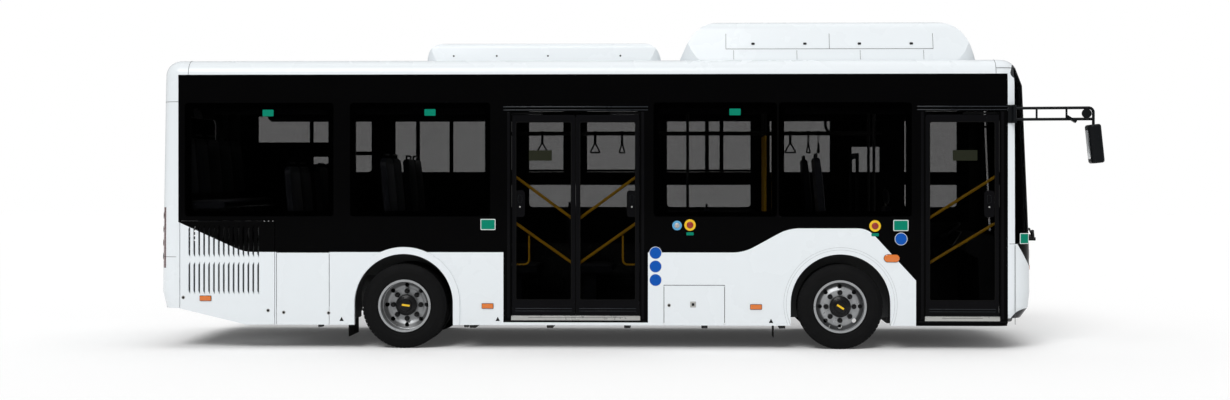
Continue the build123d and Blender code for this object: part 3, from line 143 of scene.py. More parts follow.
# Finishes
class Finish:
    """A procedural material under construction, on Object coordinates."""

    def __init__(self, name, base, roughness=0.5, metallic=0.0, coat=0.0, ior=1.5):
        self.material = bpy.data.materials.new(name)
        self.material.use_nodes = True
        self.tree = self.material.node_tree
        self.surface = self.tree.nodes["Principled BSDF"]
        self.output = self.tree.nodes["Material Output"]
        self.place = self.add("ShaderNodeTexCoord").outputs["Object"]
        values = {"Base Color": (*base, 1.0), "Roughness": roughness, "Metallic": metallic,
                  "Coat Weight": coat, "IOR": ior}
        for socket, value in values.items():
            self.set(socket, value)

    def add(self, kind, **settings):
        node = self.tree.nodes.new(kind)
        for key, value in settings.items():
            setattr(node, key, value)
        return node

    def set(self, socket, value):
        self.surface.inputs[socket].default_value = value

    def join(self, source, target):
        self.tree.links.new(source, target)

    def put(self, value, socket):
        """Link a socket, or set it to a number or a colour."""
        if isinstance(value, (int, float)):
            socket.default_value = value
        elif isinstance(value, tuple):
            socket.default_value = (*value, 1.0)
        else:
            self.join(value, socket)

    def feed(self, source, socket="Base Color"):
        self.join(source, self.surface.inputs[socket])

    def math(self, operation, *values):
        node = self.add("ShaderNodeMath", operation=operation)
        for socket, value in zip(node.inputs, (*values, 0.0, 0.0)):
            self.put(value, socket)
        return node.outputs[0]

    def xyz(self):
        node = self.add("ShaderNodeSeparateXYZ")
        self.join(self.place, node.inputs[0])
        return node.outputs

    def noise(self, scale, detail=3.0):
        node = self.add("ShaderNodeTexNoise")
        node.inputs["Scale"].default_value = scale
        node.inputs["Detail"].default_value = detail
        self.join(self.place, node.inputs["Vector"])
        return node.outputs["Fac"]

    def wave(self, direction, scale, distortion=0.0):
        node = self.add("ShaderNodeTexWave", bands_direction=direction)
        node.inputs["Scale"].default_value = scale
        node.inputs["Distortion"].default_value = distortion
        self.join(self.place, node.inputs["Vector"])
        return node.outputs["Fac"]

    def spread(self, factor, low, high, to_low, to_high):
        node = self.add("ShaderNodeMapRange", clamp=True)
        self.join(factor, node.inputs["Value"])
        for key, value in (("From Min", low), ("From Max", high), ("To Min", to_low), ("To Max", to_high)):
            node.inputs[key].default_value = value
        return node.outputs["Result"]

    def blend(self, factor, a, b):
        node = self.add("ShaderNodeMix", data_type="RGBA")
        for socket, value in ((node.inputs["Factor"], factor), (node.inputs[6], a), (node.inputs[7], b)):
            self.put(value, socket)
        return node.outputs[2]

    def bump(self, height, strength, distance):
        node = self.add("ShaderNodeBump")
        node.inputs["Strength"].default_value = strength
        node.inputs["Distance"].default_value = distance
        self.join(height, node.inputs["Height"])
        self.feed(node.outputs["Normal"], "Normal")

    def gloss(self, cloud, low, high):
        self.feed(self.spread(cloud, 0.3, 0.7, low, high), "Roughness")

    def mottle(self, base, amount, scale, rough_low, rough_high):
        """Slight colour and gloss variation, as on any used surface."""
        cloud = self.noise(scale)
        self.feed(self.blend(cloud, shade(base, 1.0 - amount), base))
        self.gloss(cloud, rough_low, rough_high)


def shade(colour, share):
    """A colour made darker or lighter."""
    return tuple(c * share for c in colour)


def inside_mask(f):
    """1 on the shell's inner faces, 0 on its outer ones: a rounded, crowned box set in by half a wall."""
    m = f.math
    x, y, z = f.xyz()
    middle, half_length = (REAR_X + FRONT_X) / 2, (FRONT_X - REAR_X) / 2
    corner, half_wall, belt = 0.17, 0.025, 1.04
    ahead = m("GREATER_THAN", x, middle)
    crown = m("ADD", m("MULTIPLY", ahead, 0.028), 0.0556)
    lean_rate = m("ADD", m("MULTIPLY", ahead, 0.027), 0.016)
    bow = m("MULTIPLY", m("MULTIPLY", y, y), crown)
    lean = m("MULTIPLY", m("MAXIMUM", m("SUBTRACT", z, belt), 0.0), lean_rate)
    along = m("ADD", m("ADD", m("ABSOLUTE", m("SUBTRACT", x, middle)), bow), lean)
    total = 0.0
    for reach, limit in ((along, half_length), (m("ABSOLUTE", y), -SIDE_Y), (z, BODY_HIGH)):
        reach = m("MAXIMUM", m("SUBTRACT", reach, limit - corner), 0.0)
        total = m("MULTIPLY_ADD", reach, reach, total)
    return m("LESS_THAN", m("SQRT", total), corner - half_wall)


def livery_mask(f):
    """1 where the paint is black: above the livery line at the tail."""
    m = f.math
    x, y, z = f.xyz()
    start, low, high, slope = REAR_JOINT_X, 0.952, 1.248, 0.4512
    falling = m("SUBTRACT", high, m("MULTIPLY", m("SUBTRACT", x, start), slope))
    return m("GREATER_THAN", z, m("SMOOTH_MAX", falling, low, 0.06))


def shell_paint(name, masks, coat=0.4, gloss=0.25):
    """Body paint: white, turned black where a mask says so, and dark lining on the inner faces."""
    white, black = tuple(colours().white), tuple(colours().black)
    f = Finish(name, white, roughness=0.28, coat=coat)
    cloud = f.noise(2.2, 4.0)
    tone = f.blend(cloud, shade(white, 0.985), white)
    dust = f.spread(f.xyz()[2], 0.24, 0.75, 0.05, 0.0)
    tone = f.blend(f.math("MULTIPLY", dust, f.noise(9.0, 6.0)), tone, (0.32, 0.30, 0.26))
    for mask in masks:
        tone = f.blend(mask(f), tone, black)
    lining = f.blend(f.noise(60.0, 2.0), (0.030, 0.031, 0.033), (0.045, 0.046, 0.048))
    f.feed(f.blend(inside_mask(f), tone, lining))
    f.gloss(cloud, 0.22, 0.32)
    f.set("Coat Roughness", 0.06)
    f.set("Coat IOR", 1.3)
    f.set("Specular IOR Level", gloss)
    f.bump(f.noise(220.0, 1.0), 0.02, 0.0003)
    return f.material


def screen_mask(f):
    """1 on the black mask around the windscreen, ahead of the white pillar."""
    x, y, z = f.xyz()
    ahead = f.math("GREATER_THAN", x, PILLAR_X + 0.070)
    return f.math("MULTIPLY", ahead, f.math("LESS_THAN", z, 2.765))


def lamp_mask(f):
    """1 on the black wedge that runs from the windscreen's corner down round the head lamp."""
    m = f.math
    x, y, z = f.xyz()
    back = m("SUBTRACT", PILLAR_X + 0.205, m("MULTIPLY", m("SUBTRACT", z, 0.86), 0.62))
    ahead = m("MULTIPLY", m("GREATER_THAN", x, back), m("GREATER_THAN", z, 0.700))
    outboard = m("GREATER_THAN", m("ABSOLUTE", y), 0.790)
    return m("MULTIPLY", ahead, m("MAXIMUM", outboard, m("GREATER_THAN", z, 0.985)))


def black_gloss(name, base=None, ior=1.16, roughness=0.05):
    """Deep gloss black, as paint or as printed glass."""
    base = base or tuple(colours().black)
    f = Finish(name, base, roughness=roughness, ior=ior)
    f.gloss(f.noise(1.4), roughness, roughness + 0.05)
    tone = f.blend(f.noise(3.0), base, shade(base, 1.5))
    lining = f.blend(f.noise(60.0), (0.012, 0.012, 0.013), (0.02, 0.02, 0.021))
    f.feed(f.blend(inside_mask(f), tone, lining))
    return f.material


def tinted_glass(name, tint, ior=1.16):
    """Dark glass: what is behind it shows through its tint, and it mirrors a little at a low angle."""
    f = Finish(name, (0.01, 0.011, 0.012), roughness=0.03, ior=ior)
    clear = f.add("ShaderNodeBsdfTransparent")
    f.join(f.blend(f.noise(0.9, 2.0), shade(tint, 0.985), tint), clear.inputs["Color"])
    fresnel = f.add("ShaderNodeFresnel")
    fresnel.inputs["IOR"].default_value = ior
    mix = f.add("ShaderNodeMixShader")
    for source, socket in zip((fresnel, clear, f.surface), mix.inputs):
        f.join(source.outputs[0], socket)
    f.join(mix.outputs[0], f.output.inputs["Surface"])
    return f.material


COATINGS = {  # kind: colour and gloss variation, its scale, how far gloss goes down and up, then the grain
    "moulded": (0.18, 14.0, 0.06, 0.08, (2.0, 0.25, 0.0006)),
    "enamel": (0.07, 6.0, 0.05, 0.07, (1.0, 0.10, 0.0003)),
    "metal": (0.22, 18.0, 0.08, 0.14, (4.0, 0.15, 0.0006)),
}


def coated(kind, name, base, roughness, ior, coat=0.0, metallic=0.0, grain=500.0):
    """Moulded plastic or rubber, smooth enamel or powder coat, or brushed metal."""
    amount, scale, down, up, (detail, strength, distance) = COATINGS[kind]
    f = Finish(name, base, roughness=roughness, ior=ior, coat=coat, metallic=metallic)
    f.mottle(base, amount, scale, roughness - down, roughness + up)
    f.bump(f.noise(grain, detail), strength, distance)
    return f.material


def moulded(name, base, roughness=0.55, grain=420.0, ior=1.4):
    """Moulded plastic or rubber with a fine grain."""
    return coated("moulded", name, base, roughness, ior, grain=grain)


def enamel(name, base, roughness=0.3, ior=1.45, coat=0.3):
    """Smooth enamel or powder coat."""
    return coated("enamel", name, base, roughness, ior, coat)


def bare_metal(name, base, roughness):
    """Brushed metal with wear."""
    return coated("metal", name, base, roughness, 1.5, metallic=0.55, grain=160.0)


def wheel_steel(name, base):
    """Wheel steel: bright on disc and rim, with painted shade darkening the groove between them."""
    f = Finish(name, base, roughness=0.34, metallic=0.55)
    m = f.math
    x, y, z = f.xyz()
    ahead, behind = [m("ABSOLUTE", m("SUBTRACT", x, axle)) for axle in (FRONT_AXLE, REAR_AXLE)]
    along = m("MINIMUM", ahead, behind)
    up = m("SUBTRACT", z, AXLE_Z)
    radius = m("SQRT", m("MULTIPLY_ADD", up, up, m("MULTIPLY", along, along)))
    cloud = f.noise(18.0)
    # Painted shade: a near-black ring where the dished cone between disc and rim lies in shadow.
    start = f.spread(radius, 0.186, 0.200, 0.0, 1.0)
    end = f.spread(radius, 0.232, 0.238, 1.0, 0.0)
    groove_shade = m("MULTIPLY", m("MULTIPLY", start, end), 0.86)
    f.feed(f.blend(groove_shade, f.blend(cloud, shade(base, 0.74), base), (0.022, 0.022, 0.023)))
    f.gloss(cloud, 0.26, 0.46)
    f.bump(f.noise(160.0, 4.0), 0.15, 0.0006)
    return f.material


def rail_coat(name, yellow):
    """Black rails, with the poles beside the exit door powder-coated yellow."""
    f = Finish(name, yellow, roughness=0.35)
    m = f.math
    x, y, z = f.xyz()
    near = m("LESS_THAN", m("ABSOLUTE", m("SUBTRACT", x, YELLOW_POLE_X)), 0.05)
    f.feed(f.blend(m("MULTIPLY", near, m("LESS_THAN", z, 2.12)), (0.006, 0.006, 0.0065), yellow))
    f.gloss(f.noise(6.0), 0.30, 0.42)
    f.bump(f.noise(500.0, 1.0), 0.10, 0.0003)
    return f.material


def grimy_metal(name, base, roughness=0.6):
    """Chassis black with road dust."""
    f = Finish(name, base, roughness=roughness)
    dust = f.spread(f.noise(7.0, 6.0), 0.45, 0.75, 0.0, 0.5)
    f.feed(f.blend(dust, base, (0.09, 0.08, 0.065)))
    f.feed(f.spread(dust, 0.0, 0.5, roughness, 0.9), "Roughness")
    f.bump(f.noise(90.0, 5.0), 0.3, 0.001)
    return f.material


def lamp_lens(name, base, rib_scale, roughness=0.12):
    """A moulded lamp lens with prism ribs."""
    f = Finish(name, base, roughness=roughness, coat=0.6)
    ribs = f.wave("Z", rib_scale)
    f.feed(f.blend(ribs, shade(base, 0.72), base))
    f.bump(ribs, 0.4, 0.001)
    return f.material


def woven(name, base):
    """Woven seat cloth with sheen."""
    f = Finish(name, base, roughness=0.85)
    weave = f.math("MULTIPLY", f.wave("X", 45.0, 1.2), f.wave("Z", 45.0, 1.2))
    worn = f.blend(f.noise(12.0, 4.0), shade(base, 0.8), shade(base, 1.15))
    f.feed(f.blend(f.spread(weave, 0.0, 1.0, 0.25, 0.0), worn, (0.01, 0.01, 0.012)))
    f.set("Sheen Weight", 0.25)
    f.bump(weave, 0.5, 0.0008)
    return f.material


def speckled(name, base, fleck):
    """Flecked floor covering."""
    f = Finish(name, base, roughness=0.6)
    f.feed(f.blend(f.spread(f.noise(260.0, 1.0), 0.62, 0.66, 0.0, 0.6), base, fleck))
    f.bump(f.noise(140.0, 2.0), 0.2, 0.0006)
    return f.material


FINISHES = {}


def make_finishes():
    """Every finish by its own name."""
    c = colours()
    FINISHES.update({
        "white": shell_paint("paint_white", ()),
        "tail": shell_paint("paint_tail_livery", (livery_mask,), 0.0, 0.03),
        "cap": shell_paint("paint_front_cap", (screen_mask,), 0.1, 0.08),
        "nose": shell_paint("paint_front_bumper", (lamp_mask,), 0.1, 0.08),
        "black": black_gloss("paint_band_black", ior=1.08),
        "glass": tinted_glass("glass_tinted", tuple(c.tint)),
        "door_black": black_gloss("door_black", base=(0.0025, 0.0025, 0.003), ior=1.12, roughness=0.16),
        "rubber": moulded("rubber_black", (0.003, 0.003, 0.003), roughness=0.6, ior=1.15),
        "tyre": moulded("tyre_rubber", (0.0035, 0.0035, 0.0038), roughness=0.66, grain=260.0, ior=1.2),
        "steel": wheel_steel("wheel_steel", (0.40, 0.41, 0.42)),
        "nut": enamel("nut_black", (0.004, 0.004, 0.0045), roughness=0.3, ior=1.25, coat=0.1),
        "chassis": grimy_metal("chassis_black", (0.012, 0.012, 0.013)),
        "engine": grimy_metal("engine_grey", (0.10, 0.105, 0.11)),
        "yellow": enamel("handrail_yellow", tuple(c.yellow), ior=1.3),
        "orange": lamp_lens("lamp_orange", tuple(c.orange), 40.0),
        "red": lamp_lens("lamp_red", (0.075, 0.004, 0.004), 22.0),
        "clear": lamp_lens("lamp_clear", (0.55, 0.58, 0.60), 30.0, roughness=0.08),
        "seat": moulded("seat_plastic", (0.014, 0.016, 0.024), roughness=0.5),
        "cloth": woven("seat_cloth", (0.014, 0.017, 0.034)),
        "dash": moulded("dash_plastic", (0.014, 0.015, 0.017), roughness=0.6),
        "floor": speckled("floor_covering", (0.075, 0.078, 0.08), (0.2, 0.2, 0.19)),
        "mirror": moulded("mirror_black", (0.004, 0.005, 0.006), roughness=0.35, ior=1.2),
        "green": enamel("sign_green", tuple(c.green), roughness=0.3, ior=1.2, coat=0.0),
        "blue": enamel("sign_blue", tuple(c.blue), roughness=0.3, ior=1.2, coat=0.0),
        "sign_white": enamel("sign_white", (0.75, 0.78, 0.78), roughness=0.25),
        "sign_yellow": enamel("sign_yellow", (0.85, 0.52, 0.0), roughness=0.25),
        "sign_red": enamel("sign_red", (0.32, 0.02, 0.01), roughness=0.2),
        "silver": bare_metal("trim_silver", (0.5, 0.5, 0.48), roughness=0.3),
        "strap_grey": moulded("strap_grey", (0.012, 0.012, 0.013), roughness=0.5),
        "reflector": bare_metal("mirror_glass", (0.75, 0.78, 0.8), roughness=0.04),
        "sky": enamel("sign_light_blue", (0.10, 0.36, 0.62), roughness=0.25),
        "label": enamel("label_olive", (0.014, 0.016, 0.008), roughness=0.4, ior=1.2, coat=0.0),
        "seam": moulded("seam_grey", (0.060, 0.062, 0.064), roughness=0.6),
        "arch_shade": moulded("arch_shade", (0.42, 0.44, 0.45), roughness=0.5),
        "gap": moulded("joint_black", (0.008, 0.008, 0.009), roughness=0.6, ior=1.15),
        "rails": rail_coat("rail_coat", tuple(c.yellow)),
        "edge": enamel("channel_blue_grey", (0.012, 0.015, 0.019), roughness=0.3, ior=1.25),
        "duct": moulded("duct_grey", (0.010, 0.010, 0.011), roughness=0.7, ior=1.15),
        "strap_dark": moulded("guard_dark", (0.05, 0.051, 0.053), roughness=0.5),
        # Flat black: painted shadow in the heater grilles and fan openings, and the sign box's own black.
        "louvre": enamel("louvre_shadow", (0.004, 0.004, 0.005), roughness=0.6),
    })


FINISHED_NODES = {  # finish: the CAD nodes that wear it
    "white": "roof side_right_lower side_left_lower service_flap_right filler_flap_right rear_cap "
             "rear_bumper engine_door air_conditioner gas_fairing",
    "tail": "grille_flap_right grille_flap_left",
    "cap": "front_cap",
    "nose": "front_bumper head_lamps",
    "black": "side_right_upper side_left_upper",
    "glass": "windscreen side_glass_right side_glass_left rear_glass exit_door_front_glass "
             "exit_door_rear_glass entry_door_glass",
    "door_black": "exit_door_front_leaf exit_door_rear_leaf entry_door_leaf exit_door_front_post "
                  "exit_door_rear_post entry_door_post",
    "yellow": "exit_door_front_rails exit_door_rear_rails entry_door_rails",
    "rails": "grab_rails",
    "red": "tail_lamps",
    "floor": "floor wheel_boxes",
    "chassis": "underframe front_axle knuckle_left knuckle_right rear_axle suspension",
    "engine": "engine",
    "rubber": "mud_flaps",
    "tyre": "front_tyre_left front_tyre_right rear_tyres_left rear_tyres_right",
    "steel": "front_wheel_left front_wheel_right rear_wheels_left rear_wheels_right",
    "seat": "passenger_seats",
    "cloth": "driver_seat",
    "dash": "dashboard",
    "mirror": "mirror_bases mirror_left mirror_right wipers",
}


# Mesh makers
def finish_piece(name, mesh_builder, finish, body="body", sharp=40.0):
    """Turn built faces into a finished piece that rides on its body."""
    bmesh.ops.remove_doubles(mesh_builder, verts=mesh_builder.verts, dist=1e-6)
    bmesh.ops.recalc_face_normals(mesh_builder, faces=mesh_builder.faces)
    mesh = bpy.data.meshes.new(name)
    mesh_builder.to_mesh(mesh)
    mesh_builder.free()
    smooth(mesh, sharp)
    piece = linked(name, mesh)
    mesh.materials.append(FINISHES[finish])
    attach(piece, body)
    return piece


def smooth(mesh, sharp):
    """Shade a mesh smooth except across its sharp edges."""
    for polygon in mesh.polygons:
        polygon.use_smooth = True
    mesh.set_sharp_from_angle(angle=math.radians(sharp))


def linked(name, data):
    """A new object in the scene."""
    made = bpy.data.objects.new(name, data)
    bpy.context.scene.collection.objects.link(made)
    return made


def facing(centre, normal, up=AXIS_Z):
    """A placement whose local Z is the outward normal and local Y points up."""
    z = Vector(normal).normalized()
    x = Vector(up).cross(z).normalized()
    return Matrix.Translation(Vector(centre)) @ Matrix((x, z.cross(x), z)).transposed().to_4x4()


def moved(place, x=0.0, y=0.0, z=0.0):
    """A placement shifted along its own axes."""
    return place @ Matrix.Translation((x, y, z))


def skin(bm, loops, closed=False, caps=True):
    """Join rings of points by quads, round again when closed, or else with a face on each end."""
    for low, high in zip(loops, loops[1:] + loops[:1] if closed else loops[1:]):
        for i in range(len(low)):
            j = (i + 1) % len(low)
            bm.faces.new((low[i], low[j], high[j], high[i]))
    if caps and not closed:
        bm.faces.new(loops[0][::-1])
        bm.faces.new(loops[-1])


def outline_points(width, height, corner, steps=5):
    """A rounded rectangle about the origin."""
    corner = min(corner, width / 2 - 1e-5, height / 2 - 1e-5)
    points = []
    for quarter, (sx, sy) in enumerate(((1, 1), (-1, 1), (-1, -1), (1, -1))):
        cx, cy = sx * (width / 2 - corner), sy * (height / 2 - corner)
        for i in range(steps + 1):
            a = math.pi / 2 * (quarter + i / steps)
            points.append((cx + corner * math.cos(a), cy + corner * math.sin(a)))
    return points


def circle_points(radius, count=32):
    """A circle about the origin."""
    turns = [2 * math.pi * i / count for i in range(count)]
    return [(radius * math.cos(a), radius * math.sin(a)) for a in turns]


def plate(bm, place, points, thickness, bevel=None, dome=0.0):
    """A flat piece with an outline, standing on its placement, its front edge bevelled or domed."""
    bevel = min(sizes().bevel if bevel is None else bevel, thickness * 0.45)
    span = max(max(abs(x), abs(y)) for x, y in points)
    inset = (span - bevel) / span
    rings = [(1.0, 0.0), (1.0, thickness - bevel), (inset, thickness)]
    if dome:
        rings += [(inset * math.cos(a), thickness + dome * math.sin(a)) for a in (0.5, 0.9, 1.25)]
    skin(bm, [[bm.verts.new(place @ Vector((x * s, y * s, z))) for x, y in points] for s, z in rings])


def slab(bm, low, high, bevel=None):
    """A box between two corners with bevelled edges."""
    bevel = sizes().bevel if bevel is None else bevel
    low, high = Vector(low), Vector(high)
    size = high - low
    made = bmesh.ops.create_cube(bm, size=1.0)["verts"]
    bmesh.ops.scale(bm, vec=size, verts=made)
    bmesh.ops.translate(bm, vec=(low + high) / 2, verts=made)
    edges = list({e for v in made for e in v.link_edges})
    bmesh.ops.bevel(bm, geom=edges, offset=min(bevel, min(size) * 0.4), segments=2, affect="EDGES",
                    profile=0.5)


def slabs(name, finish, corners, bevel=None, body="body"):
    """One piece of boxes, each given by two corners."""
    bm = bmesh.new()
    for low, high in corners:
        slab(bm, low, high, bevel)
    return finish_piece(name, bm, finish, body)


def rounded_path(points, radius, steps=6):
    """A polyline with its corners turned into arcs."""
    points = [Vector(p) for p in points]
    path = [points[0]]
    for before, corner, after in zip(points, points[1:], points[2:]):
        a, b = (before - corner), (after - corner)
        turn = math.pi - a.angle(b)
        if turn < 1e-3:
            path.append(corner)
            continue
        reach = min(radius * math.tan(turn / 2), a.length * 0.49, b.length * 0.49)
        start, end = corner + a.normalized() * reach, corner + b.normalized() * reach
        for i in range(steps + 1):
            t = i / steps
            path.append(start * (1 - t) ** 2 + corner * 2 * t * (1 - t) + end * t * t)
    return path + [points[-1]]


def tube(bm, points, radius, sides=12, closed=False):
    """A round bar along points, with closed ends, or joined up when closed."""
    points = [Vector(p) for p in points]
    count = len(points)
    loops = []
    side = None
    for i, p in enumerate(points):
        if closed:
            ahead = points[(i + 1) % count] - points[i - 1]
        else:
            ahead = points[min(i + 1, count - 1)] - points[max(i - 1, 0)]
        ahead.normalize()
        if side is None:
            side = ahead.orthogonal().normalized()
        side = (side - ahead * side.dot(ahead)).normalized()
        up = ahead.cross(side)
        loops.append([bm.verts.new(p + side * x + up * y) for x, y in circle_points(radius, sides)])
    skin(bm, loops, closed)


def tubes(name, finish, runs, radius, sides=12, body="body"):
    """One piece of round bars."""
    bm = bmesh.new()
    for run in runs:
        tube(bm, run, radius, sides)
    return finish_piece(name, bm, finish, body)


def lathe(bm, profile, centre, segments=64, axis_sign=1.0, closed=True):
    """Turn (radius, sideways) points about the wheel's axis through centre."""
    loops = [[bm.verts.new(Vector(centre) + Vector((r * x, axis_sign * s, r * z))) for r, s in profile]
             for x, z in circle_points(1.0, segments)]
    spans = len(profile) if closed else len(profile) - 1
    for i in range(segments):
        here, there = loops[i], loops[(i + 1) % segments]
        for k in range(spans):
            j = (k + 1) % len(profile)
            bm.faces.new((here[k], here[j], there[j], there[k]))


# Repeats by Geometry Nodes
def repeat_tree():
    """A node tree that places copies of a unit in a row, in a ring, or both, and makes them real."""
    tree = bpy.data.node_groups.new("repeat_unit", "GeometryNodeTree")
    face = tree.interface
    for name, kind in (("Unit", "Object"), ("Count", "Int"), ("Start", "Vector"), ("Step", "Vector"),
                       ("Turn", "Vector"), ("Material", "Material")):
        face.new_socket(name, in_out="INPUT", socket_type="NodeSocket" + kind)
    face.new_socket("Geometry", in_out="OUTPUT", socket_type="NodeSocketGeometry")
    given, result, line, unit, index, turn, place, real, paint = [tree.nodes.new(kind) for kind in (
        "NodeGroupInput", "NodeGroupOutput", "GeometryNodeMeshLine", "GeometryNodeObjectInfo",
        "GeometryNodeInputIndex", "ShaderNodeVectorMath", "GeometryNodeInstanceOnPoints",
        "GeometryNodeRealizeInstances", "GeometryNodeSetMaterial")]
    line.mode = "OFFSET"
    turn.operation = "SCALE"
    for source, output, target, socket in (
        (given, "Count", line, "Count"), (given, "Start", line, "Start Location"),
        (given, "Step", line, "Offset"),
        (given, "Unit", unit, "Object"), (given, "Turn", turn, 0), (index, 0, turn, "Scale"),
        (line, "Mesh", place, "Points"), (unit, "Geometry", place, "Instance"),
        (turn, 0, place, "Rotation"),
        (place, 0, real, 0), (real, 0, paint, "Geometry"), (given, "Material", paint, "Material"),
        (paint, 0, result, 0),
    ):
        tree.links.new(source.outputs[output], target.inputs[socket])
    return tree


def repeat(name, unit_mesh, count, start, step, turn, finish, body="body", sharp=40.0):
    """Copies of a unit as one plain mesh that rides on its body."""
    tree = bpy.data.node_groups.get("repeat_unit") or repeat_tree()
    bmesh.ops.recalc_face_normals(unit_mesh, faces=unit_mesh.faces)
    mesh = bpy.data.meshes.new(name + "_unit")
    unit_mesh.to_mesh(mesh)
    unit_mesh.free()
    unit = linked(name + "_unit", mesh)
    holder = linked(name, bpy.data.meshes.new(name + "_empty"))
    modifier = holder.modifiers.new("repeat", "NODES")
    modifier.node_group = tree
    values = {"Unit": unit, "Count": count, "Start": Vector(start), "Step": Vector(step),
              "Turn": Vector(turn), "Material": FINISHES[finish]}
    for item in tree.interface.items_tree:
        if item.in_out == "INPUT":
            modifier[item.identifier] = values[item.name]
    depsgraph = bpy.context.evaluated_depsgraph_get()
    real = bpy.data.meshes.new_from_object(holder.evaluated_get(depsgraph))
    holder.modifiers.remove(modifier)
    holder.data = real
    bpy.data.objects.remove(unit)
    smooth(real, sharp)
    if not real.materials:
        real.materials.append(FINISHES[finish])
    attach(holder, body)
    return holder


# Pieces
STAGE_REACH = 60.0
FLOOR_COLOUR, FLOOR_LIFT = (0.98, 0.98, 0.98), 0.04
SENSOR_WIDTH = 36.0


def make_floor():
    """A bright floor that also looks bright where little light falls on it."""
    bm = bmesh.new()
    bmesh.ops.create_grid(bm, x_segments=8, y_segments=8, size=STAGE_REACH)
    mesh = bpy.data.meshes.new("studio_floor")
    bm.to_mesh(mesh)
    bm.free()
    floor = linked("studio_floor", mesh)
    f = Finish("studio_floor", FLOOR_COLOUR, roughness=0.9)
    f.set("Specular IOR Level", 0.0)
    glow = f.add("ShaderNodeEmission")
    path = f.add("ShaderNodeLightPath").outputs
    seen = f.math("MAXIMUM", path["Is Camera Ray"], path["Is Transmission Ray"])
    f.join(f.math("MULTIPLY", seen, FLOOR_LIFT), glow.inputs["Strength"])
    both = f.add("ShaderNodeAddShader")
    f.join(f.surface.outputs[0], both.inputs[0])
    f.join(glow.outputs[0], both.inputs[1])
    f.join(both.outputs[0], f.output.inputs["Surface"])
    f.mottle(FLOOR_COLOUR, 0.01, 0.3, 0.85, 0.95)
    mesh.materials.append(f.material)


def make_world():
    """White where it is seen, dimmer where it lights the bus."""
    world = bpy.data.worlds.new("studio_world")
    bpy.context.scene.world = world
    world.use_nodes = True
    nodes, links = world.node_tree.nodes, world.node_tree.links
    back = nodes["Background"]
    back.inputs["Color"].default_value = (1, 1, 1, 1)
    path = nodes.new("ShaderNodeLightPath")
    seen = nodes.new("ShaderNodeMath")
    seen.operation = "MAXIMUM"
    strength = nodes.new("ShaderNodeMapRange")
    strength.inputs["To Min"].default_value = WORLD_STRENGTH
    strength.inputs["To Max"].default_value = 1.0
    links.new(path.outputs["Is Camera Ray"], seen.inputs[0])
    links.new(path.outputs["Is Transmission Ray"], seen.inputs[1])
    links.new(seen.outputs[0], strength.inputs["Value"])
    links.new(strength.outputs["Result"], back.inputs["Strength"])


def make_stage():
    """Floor, world, lights and the camera at the photograph's angle."""
    make_floor()
    make_world()
    for name, energy, angle, toward in SUNS:
        data = bpy.data.lights.new(name, "SUN")
        data.energy = energy
        data.angle = math.radians(angle)
        lamp = linked(name, data)
        lamp.rotation_euler = (-Vector(toward)).to_track_quat("-Z", "Y").to_euler()
        lamp.location = Vector(toward) * 10
    data = bpy.data.cameras.new("photo_camera")
    camera = linked("photo_camera", data)
    data.sensor_width = SENSOR_WIDTH
    data.lens = SENSOR_WIDTH * FOCAL_PIXELS / PHOTO_WIDTH
    data.shift_x = (PHOTO_WIDTH / 2 - CENTRE_PIXEL[0]) / PHOTO_WIDTH
    data.shift_y = (CENTRE_PIXEL[1] - PHOTO_HEIGHT / 2) / PHOTO_WIDTH
    data.clip_end = 200.0
    camera.location = CAMERA_PLACE
    camera.rotation_euler = (math.radians(90), 0, math.radians(CAMERA_YAW))
    bpy.context.scene.camera = camera
    bpy.context.scene.view_settings.view_transform = "Standard"


WORLD_STRENGTH = 0.44
SUNS = (  # name, strength, softness in degrees, direction towards the lamp
    ("key_sun", 1.62, 30.0, (-0.25, -0.80, 0.80)),
    ("top_sun", 0.62, 50.0, (0.2, 0.1, 1.0)),
)
PHOTO_WIDTH, PHOTO_HEIGHT = 1230, 400
FOCAL_PIXELS = 1726.0
CENTRE_PIXEL = (643.0, 176.7)
CAMERA_PLACE = (0.661, -18.18, 1.697)
CAMERA_YAW = 1.55


def dress_nodes():
    """Give every CAD node its finish."""
    for finish, names in FINISHED_NODES.items():
        for name in names.split():
            materials = frame["nodes"][name].data.materials
            materials.clear()
            materials.append(FINISHES[finish])


def make_tyres():
    """Tyres with shoulders, wall rings and a block tread, in place of the plain ones."""
    half = (box("front_tyre_right")[1].y - box("front_tyre_right")[0].y) / 2
    depth, blocks = sizes().tread_depth, sizes().tread_blocks
    arc = 2 * math.pi / blocks
    right = [(radius, half * share) for radius, share in WALL_RINGS]
    right += [(TYRE_RADIUS - depth, half * 0.84), (TYRE_RADIUS - depth, 0.0)]
    profile = right + [(radius, -reach) for radius, reach in reversed(right[:-1])]
    for axle in ("front_tyre_", "rear_tyres_"):
        for side, name in SIDES:
            node = axle + name
            low, high = box(node)
            body = frame["nodes"][node]["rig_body"]
            x = (low.x + high.x) / 2
            places = [low.y + half, high.y - half][::-side][:1 if axle.startswith("front") else 2]
            carcass, unit = bmesh.new(), bmesh.new()
            for y in places:
                lathe(carcass, profile, (x, y, AXLE_Z), segments=96)
                for row, (centre, width) in enumerate(TREAD_ROWS):
                    lead = arc * (0.5 if row % 2 else 0.0)
                    y0, y1 = y + half * (centre - width / 2), y + half * (centre + width / 2)
                    block(unit, TYRE_RADIUS, depth * 1.2, lead, arc * 0.86, y0, y1)
            tyre = finish_piece(node + "_carcass", carcass, "tyre", body, sharp=35)
            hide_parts(node)
            repeat(node + "_tread", unit, blocks, (x, 0, AXLE_Z), (0, 0, 0), (0, arc, 0), "tyre", body,
                   sharp=30)


